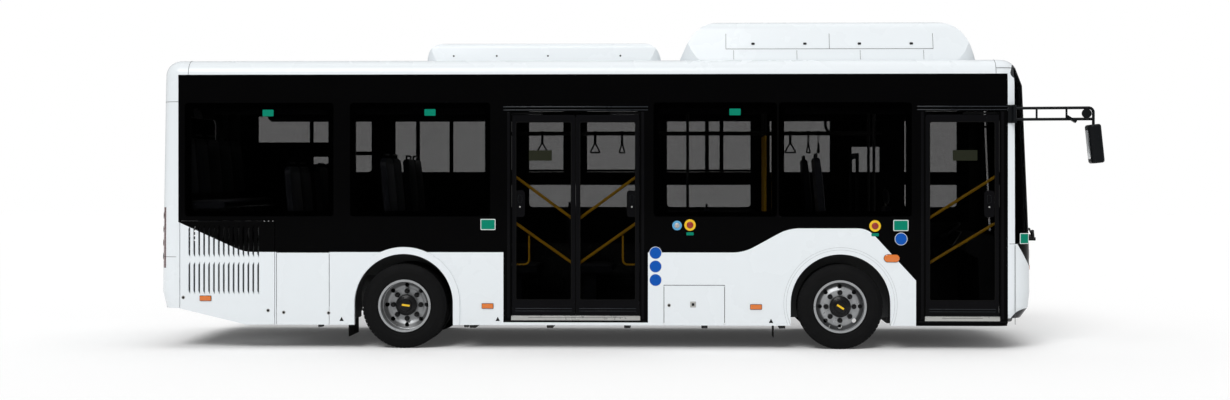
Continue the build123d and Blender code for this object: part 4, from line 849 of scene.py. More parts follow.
def block(bm, radius, depth, lead, arc, y0, y1):
    """One tread block with chamfered edges, bent to the tyre's round about the origin."""
    crown = 0.0015
    loops = []
    for r, share, inset in ((radius - depth, 1.0, 0.0), (radius - crown, 0.97, 0.03), (radius, 0.9, 0.08)):
        ring = []
        for s, t in ((-1, 0), (0, 0), (1, 0), (1, 1), (0, 1), (-1, 1)):
            a = lead + s * arc / 2 * share
            margin = (y1 - y0) * inset
            y = y1 - margin if t else y0 + margin
            ring.append(bm.verts.new((r * math.cos(a), y, r * math.sin(a))))
        loops.append(ring)
    skin(bm, loops, caps=False)
    top = loops[-1]
    bm.faces.new((top[0], top[1], top[4], top[5]))
    bm.faces.new(top[1:5])
    bm.faces.new(loops[0][::-1])


# Trim on the right side: rows of x, z and sizes, in metres
WALL_RINGS = (  # radius in metres, share of the tyre's half width
    (0.248, 0.80), (0.262, 0.85), (0.270, 0.93), (0.276, 0.915), (0.292, 0.965), (0.297, 0.955), (0.322, 1.0),
    (0.345, 0.995), (0.349, 0.985), (0.362, 0.975), (0.385, 0.93), (0.398, 0.875),
)
TREAD_ROWS = ((0.70, 0.27), (0.345, 0.28), (0.0, 0.27), (-0.345, 0.28), (-0.70, 0.27))  # centre, width
WINDOW_PLATES = ((-3.509, 2.327), (-1.901, 2.331), (1.106, 2.333))
RIM_PLATES = ((-1.327, 1.226), (2.729, 1.219))
BLUE_DISCS = ((0.325, 0.947), (0.325, 0.814), (0.325, 0.681), (2.731, 1.087))
HELP_DISC = (0.537, 1.217)
CORNER_PLATE = ((3.932, -1.2000, 1.092), (0.245, -0.97, 0))  # place, outward normal
VALVE_DISCS = ((0.664, 1.222), (2.477, 1.214))
DOOR_LABELS = (("exit_door_rear_leaf", -0.810, 1.906, 0.227), ("entry_door_leaf", 3.356, 1.906, 0.240))
LOCK_PANELS = (("exit_door_rear_leaf", -1.012), ("exit_door_front_leaf", 0.092), ("entry_door_leaf", 3.592))
LOCK_PANEL_Z = 1.430
LOCK_DOTS = ((-4.354, 0.501), (-3.509, 0.374), (-3.353, 0.355), (-2.907, 0.350), (0.458, 0.432))
KEY_PLATE = (0.694, 0.441)
MARKERS = ((-4.132, 0.493), (-1.331, 0.422), (1.312, 0.418))
TURN_LAMP = (2.640, 0.897)
JACK_MARKS = ((-2.778, 0.291), (-1.231, 0.294), (1.459, 0.281))
DOOR_GAP = 0.012
DOORWAYS = (
    (box("exit_door_rear_leaf")[0].x - DOOR_GAP, box("exit_door_front_leaf")[1].x + DOOR_GAP),
    (box("entry_door_leaf")[0].x - DOOR_GAP, box("entry_door_leaf")[1].x + DOOR_GAP),
)
END_SECTIONS = (  # height, how far the rear end and the front end are set in
    (0.235, 0.060, 0.150), (0.410, 0.036, 0.016), (0.560, 0.0, 0.0), (1.040, 0.005, 0.005),
    (2.596, 0.030, 0.072), (2.850, 0.038, 0.170),
)
REAR_END, FRONT_END = (9.0, 0.170), (6.0, 0.230)  # crown and corner radii
STRAPS = ((-0.866, 0.0), (-0.318, 0.6), (-0.039, 1.1), (1.698, 0.2), (1.884, 1.2), (1.988, 1.35))  # x, turn
CEILING_RAIL_Z = 2.150
SEAT_LEAN, SEAT_RISE = math.atan2(0.060, 0.640), 0.640
CHANNELS = ((2.350, 0.008), (2.380, 0.010))  # height, how far each stands out
LEAF_FEET = ((0.396, 0.006), (0.372, 0.004))  # foot, height of each strip
NUMBER_PLATES = ((0, 0.665, True), (0, 0.480, False))  # y, z, front or not
HEAD_LAMPS = (("head_lamp_glasses", 0.895, 0.930, 0.066), ("head_lamp_glasses", 0.885, 0.800, 0.052),
              ("front_turn_lamps", 0.985, 0.800, 0.030))  # piece, y, z, radius
TAIL_LAMPS = (("tail_lamps_round", 1.310), ("tail_lamps_round", 1.175), ("rear_turn_lamps", 1.040),
              ("reverse_lamps", 0.905))  # piece, z
TAIL_LAMP_Y, TAIL_REFLECTOR = 1.070, (0.900, 0.480)
END_LAMP_FINISHES = {
    "head_lamp_rings": "silver", "head_lamp_glasses": "clear", "front_turn_lamps": "orange",
    "tail_lamp_rings": "rubber", "tail_lamps_round": "red", "rear_turn_lamps": "orange",
    "reverse_lamps": "clear",
}
MIRROR_TOP, MIRROR_HEIGHT, MIRROR_DEPTH, MIRROR_Y = 2.207, 0.376, 0.128, 1.360
MIRROR_LEAN = math.radians(6.0)
WIPER_Y, WIPER_Z = (-0.900, 0.020), 1.098
HEATERS = ((-1.17, -0.745), (-0.444, 0.06))  # start, end
WINDOW_RAIL_Y, WINDOW_RAIL_Z = 1.06, 1.765
WINDOW_RAIL, WINDOW_RAIL_POSTS = (-1.15, 1.50), (-1.12, 0.17, 1.47)
SIGN_BOX_Z, SIGN_BOX_BACK, SIGN_BOX_HALF = (2.412, 2.600), 3.700, 1.06
DUCTS = ((-1, (-4.05, -1.26)), (-1, (0.33, 2.80)), (1, (-4.05, 3.35)))  # side, start and end
DUCT_SECTION = ((1.150, 2.315), (1.000, 2.345), (0.820, 2.560), (0.800, 2.780), (1.060, 2.780),
                (1.150, 2.640))  # y, z
CEILING_LIGHT, CEILING_LIGHT_Y = (-3.90, 3.00), 0.72
FAIRING_JOINTS, FAIRING_RIBS = (1.023, 2.055, 3.086), (1.10, 1.73, 2.36, 2.99)
FAIRING_LATCHES = (1.294, 1.811, 2.354, 2.871)
COOLER_SCREWS = (-1.713, -1.279, -0.763, -0.035)
FAN_RINGS, FAN_RADIUS, FAN_INSET = (0.06, 0.11, 0.16, 0.21, 0.26), 0.262, 0.62
WHEELS = (  # node, side, disc from the wheel's middle, hub beyond the disc, turn of the hub bar
    ("front_wheel_right", -1, 0.084, 0.062, -32.0), ("front_wheel_left", 1, 0.084, 0.062, -32.0),
    ("rear_wheels_right", -1, -0.067, 0.097, -7.0), ("rear_wheels_left", 1, -0.067, 0.097, -7.0),
)
WHEEL_MIDDLE_Y = 1.0575
SKIRT_JOINTS = ((PILLAR_X + 0.070, 0.25, 1.026),)  # x, foot, head
BAND_JOINTS = tuple((x, 2.45, BAND_TOP) for x in (-1.175, 0.251, 1.526, 2.887))
ROOF_JOINTS = (-4.305, 3.657)
NUT_COVER = ((0.0, 0.0), (0.0255, 0.0), (0.0255, 0.010), (0.0225, 0.016), (0.0225, 0.040), (0.0170, 0.047),
             (0.0, 0.048))  # radius, height
HUB_COVER = ((0.0, 0.006), (0.040, 0.005), (0.056, 0.002), (0.060, -0.010), (0.094, -0.019), (0.105, -0.027),
             (0.105, -0.049), (0.0, -0.049))
HUB_BOLT = ((0.0, 0.0), (0.0065, 0.0), (0.0065, 0.007), (0.0, 0.009))
ARCH_RING, ARCH_Z = 0.555, AXLE_Z + 0.028
FAR_DIVIDERS = ((-3.604, 1.70, 2.43), (-2.400, 1.70, 2.43), (-2.022, 1.70, 2.43), (0.854, 1.61, 2.43),
                (1.017, 1.61, 2.43), (1.640, 1.61, 2.43), (-0.626, 1.61, 2.43))  # x, foot, head
FAR_TRANSOMS = ((-3.400, -2.861, 1.960), (-3.160, -2.861, 1.960))  # start, end, height
FAR_DARK_PATCHES = ((-4.321, -3.585, 1.700, 2.085), (-4.321, -4.206, 2.080, 2.430), (-3.400, -3.152, 1.700, 2.430),
             (-3.585, -3.400, 1.920, 2.085), (-3.585, -3.400, 1.700, 1.840), (-2.761, -2.654, 1.700, 2.430),
             (-1.582, -1.262, 1.700, 2.430), (-0.761, -0.491, 1.620, 2.430), (1.500, 2.838, 1.302, 1.612),
             (2.228, 2.474, 1.620, 2.430), (2.474, 2.838, 2.030, 2.430))  # start, end, foot, head


def on_side(x, z, lift=0.0, side=-1):
    """A placement on a side wall, facing out."""
    return facing((x, side * (-SIDE_Y + lift), z), (0, side, 0))


def wall_box(x0, x1, z0, z1, out, into):
    """Two corners of a box on the right wall, from so far out of it to so far into it."""
    return (x0, SIDE_Y - out, z0), (x1, SIDE_Y + into, z1)


def spots(places, lift=0.0, side=-1):
    """Placements on a side wall for rows of x and z."""
    return [on_side(x, z, lift, side) for x, z in places]


def part_of(leaf, part):
    """The box of the pane, the rails or the post of a leaf's door."""
    return box(leaf.replace("leaf", part))


def plates(name, finish, places, width, height, corner, thickness=0.0015, dome=0.0, body="body", steps=6):
    """The same plate at several placements."""
    bm = bmesh.new()
    for place in places:
        plate(bm, place, outline_points(width, height, corner, steps), thickness, dome=dome)
    return finish_piece(name, bm, finish, body)


def discs(name, finish, places, width, thickness=0.0015, dome=0.0, body="body", steps=8):
    """The same disc at several placements."""
    return plates(name, finish, places, width, width, width / 2, thickness, dome, body, steps)


def make_signs():
    """Blank plates and discs, and the emergency valves under their domes."""
    disc = 2 * sizes().disc_sign
    help_disc, corner = on_side(*HELP_DISC), facing(*CORNER_PLATE)
    plates("window_plates", "green", spots(WINDOW_PLATES), 0.110, 0.065, 0.006)
    plates("gas_plate_rims", "sign_white", spots(RIM_PLATES), 0.148, 0.108, 0.010)
    plates("gas_plates", "green", spots(RIM_PLATES, 0.0012), 0.134, 0.094, 0.006)
    plates("corner_plate_rim", "sign_white", [corner], 0.092, 0.104, 0.008, 0.005)
    plates("corner_plate", "green", [moved(corner, z=0.0045)], 0.080, 0.092, 0.005)
    discs("blue_disc_rims", "sign_white", spots(BLUE_DISCS), disc, steps=12)
    discs("blue_discs", "blue", spots(BLUE_DISCS, 0.0012), disc * 0.93, steps=12)
    discs("help_disc", "sky", [help_disc], 0.094, 0.004, steps=12)
    discs("help_button", "silver", [moved(help_disc, z=0.003)], 0.050, 0.006, 0.004, steps=10)
    discs("valve_discs", "sign_yellow", spots(VALVE_DISCS), 0.112, 0.005, steps=12)
    discs("valve_domes", "sign_red", spots(VALVE_DISCS, 0.004), 0.066, 0.006, 0.010, steps=12)
    slabs("valve_handles", "sign_red", [wall_box(x - 0.020, x + 0.020, z - 0.006, z + 0.006, 0.026, -0.018)
                                        for x, z in VALVE_DISCS])
    plates("valve_plates", "green", [on_side(x, z - 0.086) for x, z in VALVE_DISCS], 0.072, 0.030, 0.006)
    for leaf, x, z, width in DOOR_LABELS:
        place = facing((x, part_of(leaf, "glass")[0].y, z), (0, -1, 0))
        plates("label_" + leaf, "label", [place], width, 0.102, 0.004, body=leaf)


def flap_at(x, z, side=-1):
    """The flap that holds a place on a side wall, or the body."""
    for flap in ("grille_flap_", "service_flap_", "filler_flap_") if side < 0 else ("grille_flap_",):
        flap += dict(SIDES)[side]
        low, high = box(flap)
        if low.x < x < high.x and low.z < z < high.z:
            return flap
    return "body"


def make_locks():
    """Flap locks, key plates and the jacking marks."""
    for flap in dict.fromkeys(flap_at(x, z) for x, z in LOCK_DOTS):
        dots = [(x, z) for x, z in LOCK_DOTS if flap_at(x, z) == flap]
        discs("lock_rims_" + flap, "silver", spots(dots), 0.036, 0.002, body=flap)
        discs("lock_cores_" + flap, "nut", spots(dots, 0.0015), 0.024, 0.002, body=flap)
    flap = flap_at(*KEY_PLATE)
    plates("key_frame", "silver", [on_side(*KEY_PLATE)], 0.058, 0.058, 0.004, 0.003, body=flap)
    plates("key_block", "nut", [on_side(*KEY_PLATE, lift=0.0025)], 0.026, 0.026, 0.003, 0.004, body=flap)
    bm = bmesh.new()
    for place in spots(JACK_MARKS):
        plate(bm, place, [(0.022, -0.020), (0.0, 0.022), (-0.022, -0.020)], 0.0012)
    finish_piece("jack_marks", bm, "nut")
    slabs("mud_flap_brackets", "chassis",
          [((x - 0.02, side * 1.02 - 0.05, 0.20), (x + 0.02, side * 1.02 + 0.05, 0.27))
           for side, _ in SIDES for x in (REAR_AXLE - 0.86, REAR_AXLE + 0.60)])


def make_side_lamps():
    """Marker and turn lamps in their bases."""
    for side, name in SIDES:
        for i, (x, z) in enumerate(MARKERS):
            body, place = flap_at(x, z, side), on_side(x, z, side=side)
            plates(f"marker_base_{name}_{i}", "rubber", [place], 0.118, 0.054, 0.008, 0.004, body=body)
            lens = moved(place, z=0.003)
            plates(f"marker_{name}_{i}", "orange", [lens], 0.110, 0.046, 0.006, 0.008, 0.002, body)
        place = on_side(*TURN_LAMP, side=side)
        plates("turn_base_" + name, "rubber", [place], 0.158, 0.080, 0.040, 0.003, steps=10)
        plates("turn_lamp_" + name, "orange", [moved(place, z=0.002)], 0.150, 0.072, 0.036, 0.008, 0.004,
               steps=12)


def ring_frame(bm, place, width, height, corner, border, thickness, steps=5):
    """A flat frame with rounded corners, standing on its placement."""
    outer = outline_points(width, height, corner, steps)
    inner = outline_points(width - 2 * border, height - 2 * border, max(corner - border, 0.002), steps)
    rings = ((outer, 0), (outer, thickness), (inner, thickness), (inner, 0))
    loops = [[bm.verts.new(place @ Vector((x, y, z))) for x, y in points] for points, z in rings]
    skin(bm, loops, closed=True)


def ring_piece(name, finish, frames, border, thickness, body="body", steps=5):
    """One piece of flat frames, each given by placement, width, height and corner radius."""
    bm = bmesh.new()
    for place, width, height, corner in frames:
        ring_frame(bm, place, width, height, corner, border, thickness, steps)
    return finish_piece(name, bm, finish, body)


def islands(node):
    """The two corners of each separate solid of a CAD node, from its mesh."""
    bm = bmesh.new()
    bm.from_mesh(frame["nodes"][node].data)
    bmesh.ops.remove_doubles(bm, verts=bm.verts, dist=1e-5)
    left, found = set(bm.verts), []
    while left:
        front, group = [left.pop()], []
        while front:
            v = front.pop()
            group.append(v.co.copy())
            for e in v.link_edges:
                w = e.other_vert(v)
                if w in left:
                    left.discard(w)
                    front.append(w)
        low = Vector([min(p[k] for p in group) for k in range(3)])
        high = Vector([max(p[k] for p in group) for k in range(3)])
        found.append((low, high))
    bm.free()
    return sorted(found, key=lambda b: tuple(b[0]))


def wall_line(bm, side, low, high):
    """A flush strip on a side wall."""
    y0, y1 = sorted((side * (-SIDE_Y - 0.0010), side * (-SIDE_Y + 0.0006)))
    slab(bm, (low[0], y0, low[1]), (high[0], y1, high[1]), 0.0004)


def roof_section(x, side):
    """The roof's edge at one place along the bus, from the band up and inboard."""
    radius, half = 0.150, -SIDE_Y
    points = [(x, side * (half + 0.0005), BAND_TOP)]
    for i in range(13):
        a = math.pi / 2 * i / 12
        points.append((x, side * (half - radius + (radius + 0.0005) * math.cos(a)),
                       BODY_HIGH - radius + (radius + 0.0005) * math.sin(a)))
    return points + [(x, 0.0, BODY_HIGH + 0.0005)]


def make_seals():
    """Rubber seals around every side pane, the joints between the panels, and grey arcs round the wheel
    arches: a joint line and a line of painted shade.
    """
    half = sizes().seam / 2
    for side, name in SIDES:
        panes = []
        for low, high in islands("side_glass_" + name):
            middle, size = (low + high) / 2, high - low
            panes.append((on_side(middle.x, middle.z, side=side), size.x, size.z, 0.040))
        ring_piece("pane_seals_" + name, "black", panes, sizes().seam, 0.0012)
        for finish, rows in (("seam", SKIRT_JOINTS), ("black", BAND_JOINTS)):
            bm = bmesh.new()
            for x, z0, z1 in rows:
                wall_line(bm, side, (x - half, z0), (x + half, z1))
            finish_piece(f"{finish}_joints_{name}", bm, finish)
        bm = bmesh.new()
        wall_line(bm, side, (REAR_JOINT_X, BAND_TOP - half), (PILLAR_X, BAND_TOP + half))
        for x in ROOF_JOINTS:
            tube(bm, roof_section(x, side), 0.0022, sides=6)
        finish_piece("roof_joints_" + name, bm, "gap")
        # Grey arcs round each wheel arch: the outer one the edge of the arch ring, the inner one painted
        # shade on the arch's lip.
        arcs = []
        for axle in (REAR_AXLE, FRONT_AXLE):
            for radius in (ARCH_RING, ARCH_RING - 0.024):
                start = math.asin((ARCH_Z - 0.245) / radius)
                turns = [-start + (math.pi + 2 * start) * i / 48 for i in range(49)]
                arcs.append([(axle + radius * math.cos(a), side * 1.2100, ARCH_Z + radius * math.sin(a))
                             for a in turns])
        tubes("arch_lines_" + name, "arch_shade", arcs, 0.0013, sides=6)


def end_inset(z, front):
    """How far an end is set in at one height, and how fast that grows upwards."""
    column = 2 if front else 1
    for low, high in zip(END_SECTIONS, END_SECTIONS[1:]):
        if z <= high[0]:
            break
    slope = (high[column] - low[column]) / (high[0] - low[0])
    return low[column] + slope * (z - low[0]), slope


def end_line(z, front, inset=0.0, steps=24):
    """The body's outline at one height, round an end from the left side wall to the right one."""
    sign = 1 if front else -1
    crown, corner = [r - inset for r in (FRONT_END if front else REAR_END)]
    half = -SIDE_Y - inset
    tip = (FRONT_X if front else REAR_X) - sign * (end_inset(z, front)[0] + inset)
    turn = math.asin((half - corner) / (crown - corner))
    centre = tip - sign * crown
    corner_x = centre + sign * (crown - corner) * math.cos(turn)
    points = []
    for i in range(steps // 2):
        a = math.pi / 2 + (turn - math.pi / 2) * i / (steps // 2)
        x = corner_x + sign * corner * math.cos(a)
        points.append(Vector((x, half - corner + corner * math.sin(a), z)))
    for i in range(steps // 2 + 1):
        a = turn - turn * i / (steps // 2)
        points.append(Vector((centre + sign * crown * math.cos(a), crown * math.sin(a), z)))
    return points + [Vector((p.x, -p.y, z)) for p in reversed(points[:-1])]


def on_end(y, z, front, lift=0.0):
    """A placement on an end, facing out."""
    sign = 1 if front else -1
    crown, corner = FRONT_END if front else REAR_END
    inset, slope = end_inset(z, front)
    side = 1 if y > 0 else -1
    turn = math.asin((-SIDE_Y - corner) / (crown - corner))
    tip = (FRONT_X if front else REAR_X) - sign * inset
    if abs(y) <= crown * math.sin(turn):
        a = math.asin(abs(y) / crown)
        x = tip - sign * crown * (1 - math.cos(a))
    else:
        a = math.asin(min((abs(y) - (-SIDE_Y - corner)) / corner, 1.0))
        x = tip - sign * (crown - (crown - corner) * math.cos(turn)) + sign * corner * math.cos(a)
    normal = Vector((sign * math.cos(a), side * math.sin(a), slope)).normalized()
    return facing(Vector((x, y, z)) + normal * lift, normal)


def make_end_trim():
    """Joint lines, blank plates, lamps, mirror glasses and wiper covers."""
    for name, finish, lines in (("cap_joints", "gap", ((2.440, False), (2.765, True))),
                                ("bumper_joints", "seam", ((0.903, False), (1.040, True)))):
        tubes(name, finish, [end_line(z, front) for z, front in lines], 0.0022, sides=6)
    plates("number_plates", "sign_white", [on_end(*p) for p in NUMBER_PLATES], 0.460, 0.112, 0.010, 0.003)
    make_end_lamps()
    along, up = math.cos(MIRROR_LEAN), math.sin(MIRROR_LEAN)
    back = Vector((-along, 0, -up))
    for side, name in SIDES:
        body = "mirror_" + name
        centre = Vector((box(body)[1].x - (MIRROR_HEIGHT * up + MIRROR_DEPTH * along) / 2, side * MIRROR_Y,
                         MIRROR_TOP - (MIRROR_HEIGHT * along + MIRROR_DEPTH * up) / 2))
        place = facing(centre + back * (MIRROR_DEPTH / 2 - 0.005), back)
        plates("mirror_face_" + name, "reflector", [place], 0.116, 0.282, 0.010, 0.0015, 0.001, body)
    bm = bmesh.new()
    for y in WIPER_Y:
        place = on_end(y, WIPER_Z, True)
        for start, end, radius, sides in (((0, 0, -0.004), (0, 0, 0.058), 0.026, 16),
                                          ((0, -0.02, 0.046), (-0.05, 0.062, 0.040), 0.017, 12)):
            tube(bm, [place @ Vector(start), place @ Vector(end)], radius, sides)
    finish_piece("wiper_covers", bm, "nut")


def make_end_lamps():
    """Round lamps in their rings at both ends."""
    meshes = {name: bmesh.new() for name in END_LAMP_FINISHES}
    for side, _ in SIDES:
        for name, y, z, radius in HEAD_LAMPS:
            place = on_end(side * y, z, True)
            rim, lens = circle_points(radius, 40), circle_points(radius * 0.82, 40)
            plate(meshes["head_lamp_rings"], moved(place, z=-0.012), rim, 0.014, 0.004)
            plate(meshes[name], moved(place, z=0.001), lens, 0.003, dome=0.003)
        for name, z in TAIL_LAMPS:
            place = on_end(side * TAIL_LAMP_Y, z, False)
            plate(meshes["tail_lamp_rings"], moved(place, z=-0.010), circle_points(0.040), 0.010, 0.002)
            plate(meshes[name], place, circle_points(0.034), 0.001, 0.0003, 0.002)
        y, z = TAIL_REFLECTOR
        reflector = outline_points(0.130, 0.045, 0.010)
        plate(meshes["tail_lamps_round"], on_end(side * y, z, False), reflector, 0.004)
    for name, finish in END_LAMP_FINISHES.items():
        finish_piece(name, meshes[name], finish)


def make_leaf_trim(leaf):
    """Seal, foot strips and lip of one leaf."""
    low, high = box(leaf)
    glass, post = part_of(leaf, "glass"), part_of(leaf, "post")
    middle, size = (glass[0] + glass[1]) / 2, glass[1] - glass[0]
    seal = (facing((middle.x, low.y, middle.z), (0, -1, 0)), size.x + 0.012, size.z + 0.012, 0.026)
    ring_piece("leaf_seal_" + leaf, "rubber", [seal], 0.010, 0.0015, leaf)
    feet = [((low.x + 0.03, low.y - 0.0025, z), (high.x - 0.03, low.y + 0.002, z + height))
            for z, height in LEAF_FEET]
    slabs("leaf_foot_" + leaf, "edge", feet, 0.0008, leaf)
    hinge_ahead = (post[0].x + post[1].x) / 2 > middle.x
    free, out = (low.x, -1) if hinge_ahead else (high.x, 1)
    x0, x1 = sorted((free - out * 0.002, free + out * 0.005))
    lip = ((x0, low.y + 0.004, 0.345), (x1, low.y + 0.028, high.z - 0.02))
    slabs("leaf_lip_" + leaf, "rubber", [lip], 0.002, leaf)


def make_door_trim():
    """Frames, lips, treads and lock panels of the doorways and the leaves."""
    for leaf, x in LOCK_PANELS:
        place = facing((x, part_of(leaf, "glass")[0].y, LOCK_PANEL_Z), (0, -1, 0))
        plates("lock_panel_" + leaf, "door_black", [place], 0.100, 0.262, 0.028, 0.004, body=leaf)
        ring = (moved(place, y=0.048, z=0.0035), 0.044, 0.086, 0.022)
        ring_piece("lock_ring_" + leaf, "mirror", [ring], 0.005, 0.003, leaf, steps=8)
        discs("lock_core_" + leaf, "silver", [moved(place, y=-0.030, z=0.003)], 0.016, 0.004, 0.0, leaf, 6)
    for leaf in LEAVES:
        make_leaf_trim(leaf)
    for i, (x0, x1) in enumerate(DOORWAYS):
        channels = [wall_box(x0 - 0.075, x1 + 0.075, z, z + reach, reach, 0.002) for z, reach in CHANNELS]
        slabs(f"door_channel_{i}", "edge", channels, 0.003)
        jambs = [wall_box(x - 0.014, x + 0.014, 0.300, 2.335, 0.003, 0.003)
                 for x in (x0 - 0.024, x1 + 0.024)]
        slabs(f"door_jamb_{i}", "door_black", jambs, 0.002)
        sill = wall_box(x0 + 0.002, x1 - 0.002, 0.283, 0.327, 0.0015, 0.004)
        slabs(f"sill_face_{i}", "silver", [sill], 0.001)
        bm = bmesh.new()
        slab(bm, *wall_box(x0 + 0.17, x1 - 0.17, 0.309, 0.3115, 0.003, 0.0), 0.0006)
        slab(bm, *wall_box(x0 - 0.06, x1 + 0.06, 0.268, 0.2815, 0.001, 0.003), 0.001)
        finish_piece(f"sill_lines_{i}", bm, "rubber")
        rib = bmesh.new()
        half = (x1 - x0) / 2 - 0.02
        slab(rib, (-half, -0.003, 0), (half, 0.003, 0.0018), 0.0005)
        repeat(f"tread_ribs_{i}", rib, 9, ((x0 + x1) / 2, SIDE_Y + 0.046, 0.300), (0, 0.012, 0), (0, 0, 0),
               "sign_yellow")


def strap(bm, spin):
    """The rounded triangular handle of a hand strap."""
    corners = [spin @ Vector(p) for p in ((0.0, 0, -0.100), (0.062, 0, -0.205), (-0.062, 0, -0.205))]
    middle = (corners[0] + corners[1] + corners[2]) / 3
    loop = []
    for i, corner in enumerate(corners):
        before, after = corners[i - 1], corners[(i + 1) % 3]
        for near, t in ((before, 0.18), (before, 0.10), (after, 0.0), (after, 0.10), (after, 0.18)):
            loop.append(corner.lerp(near, t).lerp(middle, 0.03 if t else 0.10))
    tube(bm, loop, 0.0085, sides=8, closed=True)


def make_straps():
    """Hand straps on the ceiling rail over the aisle."""
    rail_y, rail_z = box("grab_rails")[0].y + 0.015, CEILING_RAIL_Z
    handles, belts = bmesh.new(), bmesh.new()
    for x, turn in STRAPS:
        spin = Matrix.Translation((x, rail_y, rail_z)) @ Matrix.Rotation(turn, 4, "Z")
        strap(handles, spin)
        for side, _ in SIDES:
            skin(belts, [[belts.verts.new(spin @ Vector((sx * 0.012, sy * 0.0011 + side * 0.006, z)))
                          for sx, sy in ((-1, -1), (1, -1), (1, 1), (-1, 1))] for z in (-0.109, 0.0)])
        collar = bmesh.ops.create_cone(belts, cap_ends=True, segments=16, radius1=0.020, radius2=0.020,
                                       depth=0.030)["verts"]
        bmesh.ops.rotate(belts, verts=collar, matrix=Matrix.Rotation(math.pi / 2, 3, "Y"))
        bmesh.ops.translate(belts, verts=collar, vec=(x, rail_y, rail_z))
    finish_piece("strap_handles", handles, "strap_grey")
    finish_piece("strap_belts", belts, "rubber")


def pillow(bm, place, width, height, thickness, cells=10):
    """A stitched cushion face: full in the middle, drawn in at its edge and at a cross seam."""
    grid = []
    for i in range(cells + 1):
        row = []
        for j in range(cells + 1):
            u, v = i / cells * 2 - 1, j / cells * 2 - 1
            full = (1 - u ** 4) * (1 - v ** 4)
            seam = 1.0 - 0.45 * math.exp(-(abs(u) - 0.62) ** 2 / 0.006)
            point = Vector((u * width / 2, v * height / 2, thickness * full * seam))
            row.append(bm.verts.new(place @ point))
        grid.append(row)
    for i in range(cells):
        for j in range(cells):
            bm.faces.new((grid[i][j], grid[i + 1][j], grid[i + 1][j + 1], grid[i][j + 1]))
    edge = [grid[i][0] for i in range(cells + 1)] + [grid[cells][j] for j in range(1, cells + 1)]
    edge += [grid[i][cells] for i in range(cells - 1, -1, -1)]
    edge += [grid[0][j] for j in range(cells - 1, 0, -1)]
    bm.faces.new(edge[::-1])


def seat_faces(bm, low, high, width, depth, height, back_z, back_x, thickness):
    """Cushions on a seat's pan and on its back."""
    y = (low.y + high.y) / 2
    pan = facing(((low.x + 0.120 + high.x) / 2, y, high.z - SEAT_RISE), (0, 0, 1), up=(1, 0, 0))
    pillow(bm, pan, width, depth, thickness)
    back = facing((back_x, y, back_z), (math.cos(SEAT_LEAN), 0, math.sin(SEAT_LEAN)))
    pillow(bm, back, width, height, thickness)


def make_seats():
    """Cushion faces and grab handles on every passenger seat."""
    pads, handles = bmesh.new(), bmesh.new()
    for low, high in islands("passenger_seats"):
        x, y, top = low.x + 0.028, (low.y + high.y) / 2, high.z
        seat_faces(pads, low, high, 0.38, 0.31, 0.50, top - SEAT_RISE + 0.330, low.x + 0.090, 0.016)
        hand = [(x, y + 0.14 * s, top + z) for s, z in ((-1, -0.010), (-1, 0.036), (1, 0.036), (1, -0.010))]
        tube(handles, rounded_path(hand, 0.040), 0.010, sides=10)
    padded_piece = finish_piece("seat_pads", pads, "cloth", sharp=60)
    finish_piece("seat_handles", handles, "mirror")


def make_driver_place():
    """Driver's cushions, the headrest on its posts, and the instruments."""
    low, high = box("driver_seat")
    x, y, top = low.x + 0.030, (low.y + high.y) / 2, high.z
    bm = bmesh.new()
    seat_faces(bm, low, high, 0.40, 0.33, 0.54, top - 0.300, low.x + 0.090, 0.030)
    cushions = finish_piece("driver_cushions", bm, "cloth", sharp=60)
    bm = bmesh.new()
    head = facing((x, y, top + 0.10), (math.cos(SEAT_LEAN), 0, math.sin(SEAT_LEAN)))
    pillow(bm, head, 0.26, 0.17, 0.035)
    pillow(bm, moved(head @ Matrix.Rotation(math.pi, 4, "Y"), z=0.004), 0.26, 0.17, 0.02)
    headrest = finish_piece("driver_headrest", bm, "cloth", sharp=60)
    posts = [[(x, y + s, top - 0.02), (x - 0.006, y + s, top + 0.05)] for s in (-0.05, 0.05)]
    tubes("headrest_posts", "silver", posts, 0.006, sides=8)
    place = facing((FRONT_AXLE + 1.390, y, 1.030), (-0.83, 0, 0.555))
    plates("instrument_frame", "silver", [place], 0.52, 0.185, 0.03, 0.012)
    plates("instrument_face", "label", [moved(place, z=0.010)], 0.49, 0.155, 0.02, 0.004)
    dials = [moved(place, side * 0.13, 0.0, 0.013) for side, _ in SIDES]
    discs("dial_faces", "nut", dials, 0.11, 0.004, steps=10)


def make_heaters():
    """Heater covers low on the left wall, with strips of painted shadow for the gaps in their grilles."""
    pitch = 0.022
    for i, (x0, x1) in enumerate(HEATERS):
        slabs(f"heater_{i}", "strap_dark", [((x0, 1.095, 0.420), (x1, 1.158, 0.560))], 0.006)
        # Painted shadow: near-black strips stand in for the shaded gaps of the grille.
        gap_shadow = bmesh.new()
        slab(gap_shadow, (-0.006, -0.003, -0.055), (0.006, 0.003, 0.055), 0.001)
        repeat(f"heater_slats_{i}", gap_shadow, int((x1 - x0 - 0.04) / pitch), (x0 + 0.03, 1.093, 0.490),
               (pitch, 0, 0), (0, 0, 0), "louvre")


def make_inner_rails():
    """The rail along the left windows and the front end of the ceiling rail."""
    bm = bmesh.new()
    y, z = WINDOW_RAIL_Y, WINDOW_RAIL_Z
    tube(bm, [(x, y, z) for x in WINDOW_RAIL], 0.013)
    for x in WINDOW_RAIL_POSTS:
        tube(bm, [(x, y, z), (x, 1.155, z)], 0.010, sides=10)
    finish_piece("window_rail", bm, "mirror")
    low, high = box("grab_rails")
    y, bend = low.y + 0.015, 2.060
    run = [(high.x - 0.05, y, CEILING_RAIL_Z), (bend, y, CEILING_RAIL_Z), (bend, y, 2.790)]
    tubes("rail_end", "nut", [rounded_path(run, 0.09)], 0.015)


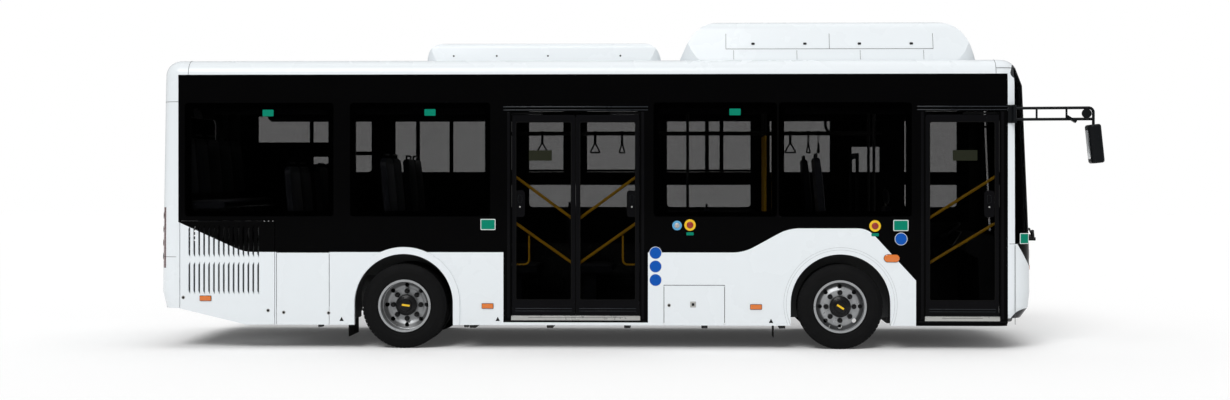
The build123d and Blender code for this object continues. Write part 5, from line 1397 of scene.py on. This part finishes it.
def make_window_trim():
    """Slider frames and dark sheets inside the left panes, and the short rails on the exit leaves."""
    half, inner, outer = 0.022, 1.190, 1.2035
    bars = [((x - half, inner, z0), (x + half, outer, z1)) for x, z0, z1 in FAR_DIVIDERS]
    bars += [((x0, inner, z - half), (x1, outer, z + half)) for x0, x1, z in FAR_TRANSOMS]
    slabs("slider_frames", "rubber", bars, 0.003)
    # Near-black sheets just inside the far panes, where the far windows show dark instead of see-through.
    dark_patches = [((x0, 1.2000, z0), (x1, outer, z1)) for x0, x1, z0, z1 in FAR_DARK_PATCHES]
    slabs("window_films", "duct", dark_patches, 0.0008)
    for leaf, sign in (("exit_door_front_leaf", 1), ("exit_door_rear_leaf", -1)):
        rails, glass = part_of(leaf, "rails"), part_of(leaf, "glass")
        y = (rails[0].y + rails[1].y) / 2
        stile = glass[1].x if sign > 0 else glass[0].x
        bend = stile - sign * 0.125
        path = [(bend, y, 1.115), (bend, y, 0.830), (stile + sign * 0.012, y, 0.830)]
        tubes("leaf_hoop_" + leaf, "yellow", [rounded_path(path, 0.055)], 0.010, sides=10, body=leaf)


def make_headers():
    """The sign box behind the top of the screen, the air ducts over the windows, the ceiling lights."""
    bm = bmesh.new()
    rows = []
    for z in SIGN_BOX_Z:
        inner = [p for p in end_line(z, True, 0.075) if abs(p.y) < SIGN_BOX_HALF]
        inner += [(SIGN_BOX_BACK, inner[-1].y, z), (SIGN_BOX_BACK, inner[0].y, z)]
        rows.append([bm.verts.new(p) for p in inner])
    skin(bm, rows)
    finish_piece("sign_box", bm, "louvre")
    bm = bmesh.new()
    for side, run in DUCTS:
        skin(bm, [[bm.verts.new((x, side * y, z)) for y, z in DUCT_SECTION] for x in run])
    finish_piece("air_ducts", bm, "duct")
    (x0, x1), y = CEILING_LIGHT, CEILING_LIGHT_Y
    lights = [((x0, side * y - 0.05, 2.762), (x1, side * y + 0.05, 2.792)) for side, _ in SIDES]
    slabs("ceiling_lights", "strap_grey", lights, 0.008)


def wheel_ring(name, node, profile, place, segments, side, count, sharp):
    """Copies of a turned unit in a ring about the wheel's axis."""
    low, high = box(node)
    unit = bmesh.new()
    lathe(unit, profile, (*place, 0), segments, side, closed=False)
    middle, turn = ((low.x + high.x) / 2, 0, AXLE_Z), (0, 2 * math.pi / count, 0)
    repeat(name + node, unit, count, middle, (0, 0, 0), turn, "nut", node, sharp=sharp)


def make_wheel_trim():
    """Nut covers, hub covers, their plain yellow bars and the valves."""
    for node, side, disc, proud, turn in WHEELS:
        low, high = box(node)
        x = (low.x + high.x) / 2
        y = side * (WHEEL_MIDDLE_Y + disc)
        reach = y + side * proud
        wheel_ring("nut_covers_", node, NUT_COVER, (0.137, y), 20, side, 8, 35)
        bm = bmesh.new()
        lathe(bm, HUB_COVER, (x, reach, AXLE_Z), 48, side, closed=False)
        finish_piece("hub_cover_" + node, bm, "nut", node)
        wheel_ring("hub_bolts_", node, HUB_BOLT, (0.078, reach - side * 0.019), 10, side, 10, 40)
        bar = facing((x, reach + side * 0.0055, AXLE_Z), (0, side, 0))
        bar = bar @ Matrix.Rotation(math.radians(-side * turn), 4, "Z")
        plates("hub_bar_" + node, "sign_yellow", [bar], 0.078, 0.020, 0.003, 0.002, body=node, steps=5)
        start = Vector((x - 0.10, y + side * 0.006, AXLE_Z - 0.185))
        run = [start, start + Vector((-0.010, side * 0.030, -0.018))]
        tubes("valve_" + node, "silver", [run], 0.005, 8, node)


def make_roof_trim():
    """Joint lines, latches and fan guards on the roof pods, with discs of painted shadow in the fan openings.
    """
    half = sizes().seam / 2
    bm = bmesh.new()
    for side, _ in SIDES:
        for x in FAIRING_JOINTS:
            run = [(x, side * (0.951 - 0.130 * s), 2.85 + 0.40 * s) for s in (0.31, 0.45, 0.58, 0.70)]
            tube(bm, run, half * 0.8, sides=6)
        tube(bm, [(x, side * 0.9110, 2.974) for x in FAIRING_JOINTS[::2]], half * 0.8, sides=6)
        for x in FAIRING_RIBS:
            tube(bm, [(x, side * 0.946, 2.865), (x, side * 0.916, 2.960)], half * 0.7, sides=6)
    finish_piece("fairing_joints", bm, "seam")
    for side, name in SIDES:
        latches = [facing((x, side * 0.8938, 3.026), (0, side, 0.325)) for x in FAIRING_LATCHES]
        plates("fairing_latches_" + name, "nut", latches, 0.034, 0.022, 0.008, 0.006)
        screws = [facing((x, side * 0.866, 2.911), (0, side, 0.24)) for x in COOLER_SCREWS]
        discs("cooler_screws_" + name, "nut", screws, 0.018, 0.004)
    low, high = box("air_conditioner")
    z = high.z - 0.003
    for i, x in enumerate((low.x + FAN_INSET, (low.x + high.x) / 2, high.x - FAN_INSET)):
        guard, opening_shadow = bmesh.new(), bmesh.new()
        for radius in FAN_RINGS:
            ring = [(x + dx, dy, z) for dx, dy in circle_points(radius, 40)]
            tube(guard, ring, 0.0035, sides=6, closed=True)
        for dx, dy in circle_points(FAN_RADIUS, 8)[:4]:
            tube(guard, [(x - dx, -dy, z), (x + dx, dy, z)], 0.0035, sides=6)
        finish_piece(f"fan_guard_{i}", guard, "strap_dark")
        # Painted shadow: a flat black disc under each guard stands in for the shaded fan opening.
        plate(opening_shadow, facing((x, 0, high.z - 0.0085), AXIS_Z, up=(0, 1, 0)), circle_points(0.255, 48), 0.009)
        finish_piece(f"fan_well_{i}", opening_shadow, "louvre")


class BUS_OT_finishes(bpy.types.Operator):
    """Make every finish and give the construction its own"""

    bl_idname = "city_bus.finishes"
    bl_label = "Finishes"

    def execute(self, context):
        make_finishes()
        dress_nodes()
        return {"FINISHED"}


class BUS_OT_stage(bpy.types.Operator):
    """Make the floor, lights, world and camera"""

    bl_idname = "city_bus.stage"
    bl_label = "Studio stage"

    def execute(self, context):
        make_stage()
        return {"FINISHED"}


class BUS_OT_tyres(bpy.types.Operator):
    """Make the tyres with their tread"""

    bl_idname = "city_bus.tyres"
    bl_label = "Tyres"

    def execute(self, context):
        make_tyres()
        return {"FINISHED"}


class BUS_OT_signs(bpy.types.Operator):
    """Blank plates, discs and valves"""

    bl_idname = "city_bus.signs"
    bl_label = "Blank plates, discs and valves"

    def execute(self, context):
        make_signs()
        return {"FINISHED"}


class BUS_OT_locks(bpy.types.Operator):
    """Locks and jacking marks"""

    bl_idname = "city_bus.locks"
    bl_label = "Locks and jacking marks"

    def execute(self, context):
        make_locks()
        return {"FINISHED"}


class BUS_OT_side_lamps(bpy.types.Operator):
    """Marker and turn lamps on the sides"""

    bl_idname = "city_bus.side_lamps"
    bl_label = "Marker and turn lamps on the sides"

    def execute(self, context):
        make_side_lamps()
        return {"FINISHED"}


class BUS_OT_seals(bpy.types.Operator):
    """Pane seals and panel joints"""

    bl_idname = "city_bus.seals"
    bl_label = "Pane seals and panel joints"

    def execute(self, context):
        make_seals()
        return {"FINISHED"}


class BUS_OT_ends(bpy.types.Operator):
    """Trim of both ends"""

    bl_idname = "city_bus.ends"
    bl_label = "Trim of both ends"

    def execute(self, context):
        make_end_trim()
        return {"FINISHED"}


class BUS_OT_doors(bpy.types.Operator):
    """Trim of the doors and doorways"""

    bl_idname = "city_bus.doors"
    bl_label = "Trim of the doors and doorways"

    def execute(self, context):
        make_door_trim()
        return {"FINISHED"}


class BUS_OT_straps(bpy.types.Operator):
    """Hand straps"""

    bl_idname = "city_bus.straps"
    bl_label = "Hand straps"

    def execute(self, context):
        make_straps()
        return {"FINISHED"}


class BUS_OT_seats(bpy.types.Operator):
    """Seat cushions and handles"""

    bl_idname = "city_bus.seats"
    bl_label = "Seat cushions and handles"

    def execute(self, context):
        make_seats()
        return {"FINISHED"}


class BUS_OT_driver(bpy.types.Operator):
    """Driver's cushions and instruments"""

    bl_idname = "city_bus.driver"
    bl_label = "Driver's cushions and instruments"

    def execute(self, context):
        make_driver_place()
        return {"FINISHED"}


class BUS_OT_heaters(bpy.types.Operator):
    """Heater covers"""

    bl_idname = "city_bus.heaters"
    bl_label = "Heater covers"

    def execute(self, context):
        make_heaters()
        return {"FINISHED"}


class BUS_OT_inner_rails(bpy.types.Operator):
    """Rails inside"""

    bl_idname = "city_bus.inner_rails"
    bl_label = "Rails inside"

    def execute(self, context):
        make_inner_rails()
        return {"FINISHED"}


class BUS_OT_window_trim(bpy.types.Operator):
    """Slider frames, films and short rails"""

    bl_idname = "city_bus.window_trim"
    bl_label = "Slider frames, films and short rails"

    def execute(self, context):
        make_window_trim()
        return {"FINISHED"}


class BUS_OT_headers(bpy.types.Operator):
    """Sign box, air ducts and ceiling lights"""

    bl_idname = "city_bus.headers"
    bl_label = "Sign box, air ducts and ceiling lights"

    def execute(self, context):
        make_headers()
        return {"FINISHED"}


class BUS_OT_wheels(bpy.types.Operator):
    """Covers of nuts and hubs"""

    bl_idname = "city_bus.wheels"
    bl_label = "Covers of nuts and hubs"

    def execute(self, context):
        make_wheel_trim()
        return {"FINISHED"}


class BUS_OT_roof(bpy.types.Operator):
    """Trim of the roof pods"""

    bl_idname = "city_bus.roof"
    bl_label = "Trim of the roof pods"

    def execute(self, context):
        make_roof_trim()
        return {"FINISHED"}


OPERATORS = (
    BUS_OT_finishes, BUS_OT_stage, BUS_OT_tyres, BUS_OT_signs, BUS_OT_locks, BUS_OT_side_lamps,
    BUS_OT_seals, BUS_OT_ends, BUS_OT_doors, BUS_OT_straps, BUS_OT_seats, BUS_OT_driver, BUS_OT_heaters,
    BUS_OT_inner_rails, BUS_OT_window_trim, BUS_OT_headers, BUS_OT_wheels, BUS_OT_roof,
)


class BUS_PT_panel(bpy.types.Panel):
    """Lists the sizes, the colours and the steps."""

    bl_label = "City bus"
    bl_idname = "BUS_PT_panel"
    bl_space_type = "VIEW_3D"
    bl_region_type = "UI"
    bl_category = "City bus"

    def draw(self, context):
        for group in (sizes(), colours()):
            for key in group.__annotations__:
                self.layout.prop(group, key)
        for operator in OPERATORS:
            self.layout.operator(operator.bl_idname)


def register():
    """Register the groups, the steps and the panel."""
    for kind in (BusSizes, BusColours, *OPERATORS, BUS_PT_panel):
        bpy.utils.register_class(kind)
    bpy.types.Scene.city_bus_sizes = PointerProperty(type=BusSizes)
    bpy.types.Scene.city_bus_colours = PointerProperty(type=BusColours)


def unregister():
    """Undo register."""
    del bpy.types.Scene.city_bus_colours
    del bpy.types.Scene.city_bus_sizes
    for kind in (BUS_PT_panel, *reversed(OPERATORS), BusColours, BusSizes):
        bpy.utils.unregister_class(kind)


def main():
    """Register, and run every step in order."""
    register()
    for operator in OPERATORS:
        family, step = operator.bl_idname.split(".")
        getattr(getattr(bpy.ops, family), step)()


if __name__ == "__main__":
    main()
